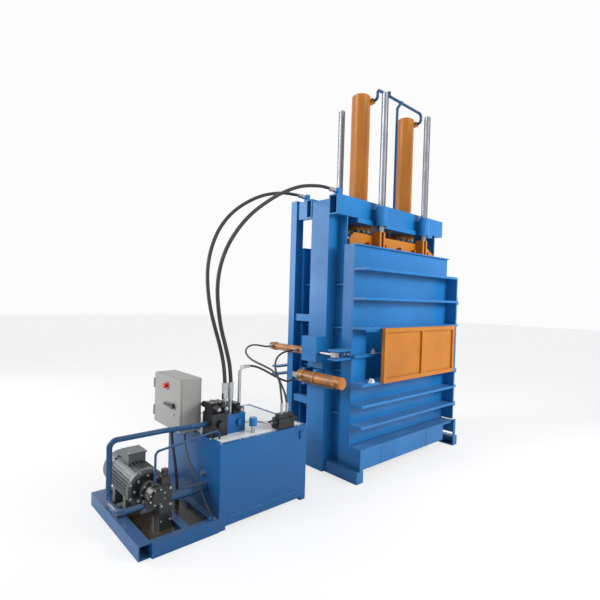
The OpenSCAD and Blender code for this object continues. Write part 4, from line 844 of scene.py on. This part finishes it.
# Hose routes in millimetres, from the port each one leaves to the port it enters
MAIN_REAR = [(-2380, -200, 1050), (-2380, -200, 1140), (-2385, -180, 1290), (-2405, -145, 1450),
             (-2435, -105, 1610), (-2458, -60, 1780), (-2462, -15, 1960), (-2440, 30, 2140), (-2380, 75, 2320),
             (-2280, 120, 2500), (-2130, 165, 2670), (-1930, 205, 2820), (-1690, 245, 2945), (-1430, 275, 3025),
             (-1210, 290, 3050), (-1090, 290, 3050)]
MAIN_FRONT = [(-2320, -200, 1050), (-2320, -200, 1140), (-2338, -200, 1290), (-2382, -200, 1450),
              (-2430, -200, 1610), (-2462, -200, 1780), (-2475, -200, 1950), (-2455, -200, 2120),
              (-2395, -200, 2290), (-2295, -200, 2455), (-2160, -200, 2610), (-1990, -200, 2750),
              (-1790, -200, 2880), (-1560, -200, 2985), (-1300, -200, 3040), (-1095, -200, 3040)]
REAR_PORT = [(-1215, 640, 1311), (-1290, 640, 1311), (-1390, 610, 1328), (-1490, 560, 1346), (-1590, 500, 1356),
             (-1690, 430, 1354), (-1780, 350, 1338), (-1845, 260, 1310), (-1870, 160, 1272), (-1858, 60, 1240),
             (-1835, -50, 1212), (-1815, -160, 1175), (-1830, -265, 1108), (-1872, -348, 1012),
             (-1900, -400, 930), (-1900, -400, 880)]
FRONT_PORT = [(-1215, 190, 1311), (-1290, 190, 1311), (-1380, 175, 1306), (-1470, 145, 1292),
              (-1555, 100, 1268), (-1625, 45, 1236), (-1680, -15, 1200), (-1720, -80, 1160), (-1750, -150, 1118),
              (-1775, -220, 1074), (-1800, -292, 1030), (-1819, -342, 995), (-1832, -374, 960),
              (-1838, -392, 930), (-1840, -400, 905), (-1840, -400, 880)]
RISER = [(-2180, -200, 1260), (-2110, -200, 1260), (-2035, -190, 1242), (-1960, -175, 1212),
         (-1885, -155, 1178), (-1810, -130, 1142), (-1735, -105, 1108), (-1660, -80, 1076),
         (-1590, -50, 1050), (-1525, -20, 1031), (-1465, 15, 1021), (-1405, 50, 1020), (-1355, 74, 1026),
         (-1315, 80, 1030), (-1270, 80, 1030)]
CABLE = [(-2630, 20, 690), (-2630, 20, 645), (-2636, 0, 600), (-2645, -36, 560), (-2654, -82, 522),
         (-2661, -132, 488), (-2665, -184, 456), (-2667, -236, 422), (-2667, -284, 384), (-2665, -324, 342),
         (-2661, -356, 300), (-2655, -382, 258), (-2647, -404, 218), (-2638, -418, 196), (-2632, -425, 170),
         (-2632, -425, 145)]
MOTOR_CABLE = [(-2670, 190, 690), (-2670, 190, 650), (-2670, 184, 612), (-2670, 172, 572), (-2670, 157, 532),
               (-2670, 141, 492), (-2670, 125, 452), (-2670, 110, 412), (-2670, 96, 372), (-2670, 84, 332),
               (-2670, 75, 292), (-2670, 68, 252), (-2670, 64, 212), (-2670, 62, 172), (-2670, 62, 140),
               (-2670, 62, 112)]
CORD_STEPS = 6


def smooth_route(route):
    """Points in metres on one smooth curve through a route."""
    knots = [Vector(p) * MM for p in route]
    knots = [2 * knots[0] - knots[1], *knots, 2 * knots[-1] - knots[-2]]
    line = []
    for a, b, c, d in zip(knots, knots[1:], knots[2:], knots[3:]):
        for step in range(CORD_STEPS):
            t = step / CORD_STEPS
            line.append(0.5 * (2 * b + (c - a) * t + (2 * a - 5 * b + 4 * c - d) * t * t
                               + (3 * b - a - 3 * c + d) * t ** 3))
    return line + [knots[-2]]


def lay_cord(name, node, route, diameter, finish):
    """A hose or cable on its route, standing for its CAD node."""
    line = smooth_route(route)
    curve = bpy.data.curves.new(name, "CURVE")
    curve.dimensions = "3D"
    curve.bevel_depth = diameter / 2
    curve.bevel_resolution = 4
    curve.use_fill_caps = True
    spline = curve.splines.new("POLY")
    spline.points.add(len(line) - 1)
    for point, place in zip(spline.points, line):
        point.co = (*place, 1.0)
    curve.materials.append(finish)
    piece = place_object(name, curve)
    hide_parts(node)
    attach(piece, "press_frame")
    return piece


MAIN_HOSE_D = 0.034
CLAMP_HOSE_D = 0.020
CABLE_D = 0.014
MOTOR_CABLE_D = 0.024
for name, node, route, diameter in (
        ("rear_main_hose", "main_hose_rear", MAIN_REAR, MAIN_HOSE_D),
        ("front_main_hose", "main_hose_front", MAIN_FRONT, MAIN_HOSE_D),
        ("rear_clamp_hose", "rear_port_hose", REAR_PORT, CLAMP_HOSE_D),
        ("front_clamp_hose", "front_port_hose", FRONT_PORT, CLAMP_HOSE_D),
        ("riser_clamp_hose", "riser_hose", RISER, CLAMP_HOSE_D),
        ("control_cable", "cabinet_cable", CABLE, CABLE_D),
        ("motor_conduit", "motor_cable", MOTOR_CABLE, MOTOR_CABLE_D)):
    lay_cord(name, node, route, diameter, hose_rubber)


def hose_end_points(routes, diameter):
    """The two ends of each route, facing into the hose."""
    points = []
    for route in routes:
        for end, inner in ((route[0], route[1]), (route[-1], route[-2])):
            points.append((Vector(end) * MM, (Vector(inner) - Vector(end)).normalized(), diameter / 2))
    return points


hose_ends = hose_end_points((MAIN_REAR, MAIN_FRONT), MAIN_HOSE_D)
hose_ends += hose_end_points((REAR_PORT, FRONT_PORT, RISER), CLAMP_HOSE_D)
grow("hose_end_fittings", point_mesh("hose_end_fittings", hose_ends), HOSE_ENDS, "press_frame", "bare_steel",
     bright_metal)
cable_ends = hose_end_points((CABLE,), CABLE_D) + hose_end_points((MOTOR_CABLE,), MOTOR_CABLE_D)
grow("cable_gland_nuts", point_mesh("cable_gland_nuts", cable_ends), HOSE_ENDS, "press_frame", "black_plastic",
     black_plastic, Nut_radius=1.5, Nut_length=1.2, Sleeve_radius=1.25, Sleeve_length=1.2)


def add_floor():
    """A plain pale floor that the camera sees a little lighter than it is lit."""
    bpy.ops.mesh.primitive_plane_add(size=80.0)
    floor = bpy.context.object
    floor.name = "studio_floor"
    material, tree, shader = new_material("pale_floor")
    shader.inputs["Base Color"].default_value = (*FLOOR_PALE, 1.0)
    shader.inputs["Roughness"].default_value = 0.85
    glow = tree.nodes.new("ShaderNodeEmission")
    glow.inputs["Color"].default_value = (*BACKDROP_PALE, 1.0)
    path = tree.nodes.new("ShaderNodeLightPath")
    paler = tree.nodes.new("ShaderNodeMixShader")
    tree.links.new(multiply(tree, path.outputs["Is Camera Ray"], FLOOR_LIFT), paler.inputs["Fac"])
    tree.links.new(shader.outputs["BSDF"], paler.inputs[1])
    tree.links.new(glow.outputs["Emission"], paler.inputs[2])
    tree.links.new(paler.outputs["Shader"], tree.nodes["Material Output"].inputs["Surface"])
    floor.data.materials.append(material)


def add_world():
    """A pale backdrop for what is seen or mirrored, and a dimmer sky that lights."""
    world = bpy.data.worlds.new("pale_studio")
    world.use_nodes = True
    tree = world.node_tree
    lit = tree.nodes["Background"]
    lit.inputs["Color"].default_value = (*SKY_LIGHT, 1.0)
    lit.inputs["Strength"].default_value = 0.5
    seen = tree.nodes.new("ShaderNodeBackground")
    seen.inputs["Color"].default_value = (*BACKDROP_PALE, 1.0)
    path = tree.nodes.new("ShaderNodeLightPath")
    shown = maths(tree, "MAXIMUM", path.outputs["Is Camera Ray"], path.outputs["Is Glossy Ray"])
    shown = maths(tree, "MAXIMUM", shown, path.outputs["Is Transmission Ray"])
    either = tree.nodes.new("ShaderNodeMixShader")
    tree.links.new(shown, either.inputs["Fac"])
    tree.links.new(lit.outputs["Background"], either.inputs[1])
    tree.links.new(seen.outputs["Background"], either.inputs[2])
    tree.links.new(either.outputs["Shader"], tree.nodes["World Output"].inputs["Surface"])
    bpy.context.scene.world = world


# Suns: strength, angle across and turn in degrees
SUNS = {"left_sun": (1.5, 24.0, (60.0, 0.0, -108.0)), "front_sun": (0.75, 30.0, (60.0, 0.0, 6.0))}
# Softboxes: power, size, place, target and whether bright metal mirrors them
SOFTBOXES = {
    "left_softbox": (330.0, (5.0, 4.0), (-6.5, 5.5, 3.4), (-1.0, 0.0, 1.8), True),
    "front_softbox": (310.0, (3.0, 2.0), (1.2, -5.0, 3.6), (0.0, -0.4, 2.3), False),
    "chamber_lamp": (8.0, (1.2, 0.5), (0.1, 0.0, 2.05), (0.1, 0.0, 0.0), False),
}


def add_lamps():
    """Soft daylight from the left and the front, and a weak lamp in the bale chamber."""
    for name, (strength, across, turn) in SUNS.items():
        lamp = bpy.data.lights.new(name, "SUN")
        lamp.energy = strength
        lamp.angle = math.radians(across)
        place_object(name, lamp).rotation_euler = [math.radians(a) for a in turn]
    for name, (power, size, place, target, mirrored) in SOFTBOXES.items():
        lamp = bpy.data.lights.new(name, "AREA")
        lamp.shape = "RECTANGLE"
        lamp.energy = power
        lamp.size, lamp.size_y = size
        holder = place_object(name, lamp)
        holder.location = place
        holder.rotation_euler = (Vector(target) - Vector(place)).to_track_quat("-Z", "Y").to_euler()
        holder.visible_camera = False
        holder.visible_glossy = mirrored


# Camera of the photograph: place in metres, turn in degrees, lens and middle in pixels
CAMERA_PLACE = (-4.3515, -3.3244, 1.8591)
CAMERA_TURN = (88.799, -1.621, -42.1025)
FOCAL_PX, CENTRE_X, CENTRE_Y, PICTURE = 423.83, 300.51, 309.84, 600


def add_camera():
    """The camera that sees the press as the photograph does."""
    camera = bpy.data.cameras.new("photo_camera")
    camera.sensor_fit = "HORIZONTAL"
    camera.sensor_width = 36.0
    camera.lens = FOCAL_PX / PICTURE * camera.sensor_width
    camera.shift_x = (PICTURE / 2 - CENTRE_X) / PICTURE
    camera.shift_y = (CENTRE_Y - PICTURE / 2) / PICTURE
    camera.clip_end = 200.0
    holder = place_object("photo_camera", camera)
    holder.location = CAMERA_PLACE
    holder.rotation_euler = [math.radians(a) for a in CAMERA_TURN]
    bpy.context.scene.camera = holder


add_floor()
add_world()
add_lamps()
add_camera()
bpy.context.scene.view_settings.view_transform = "Standard"
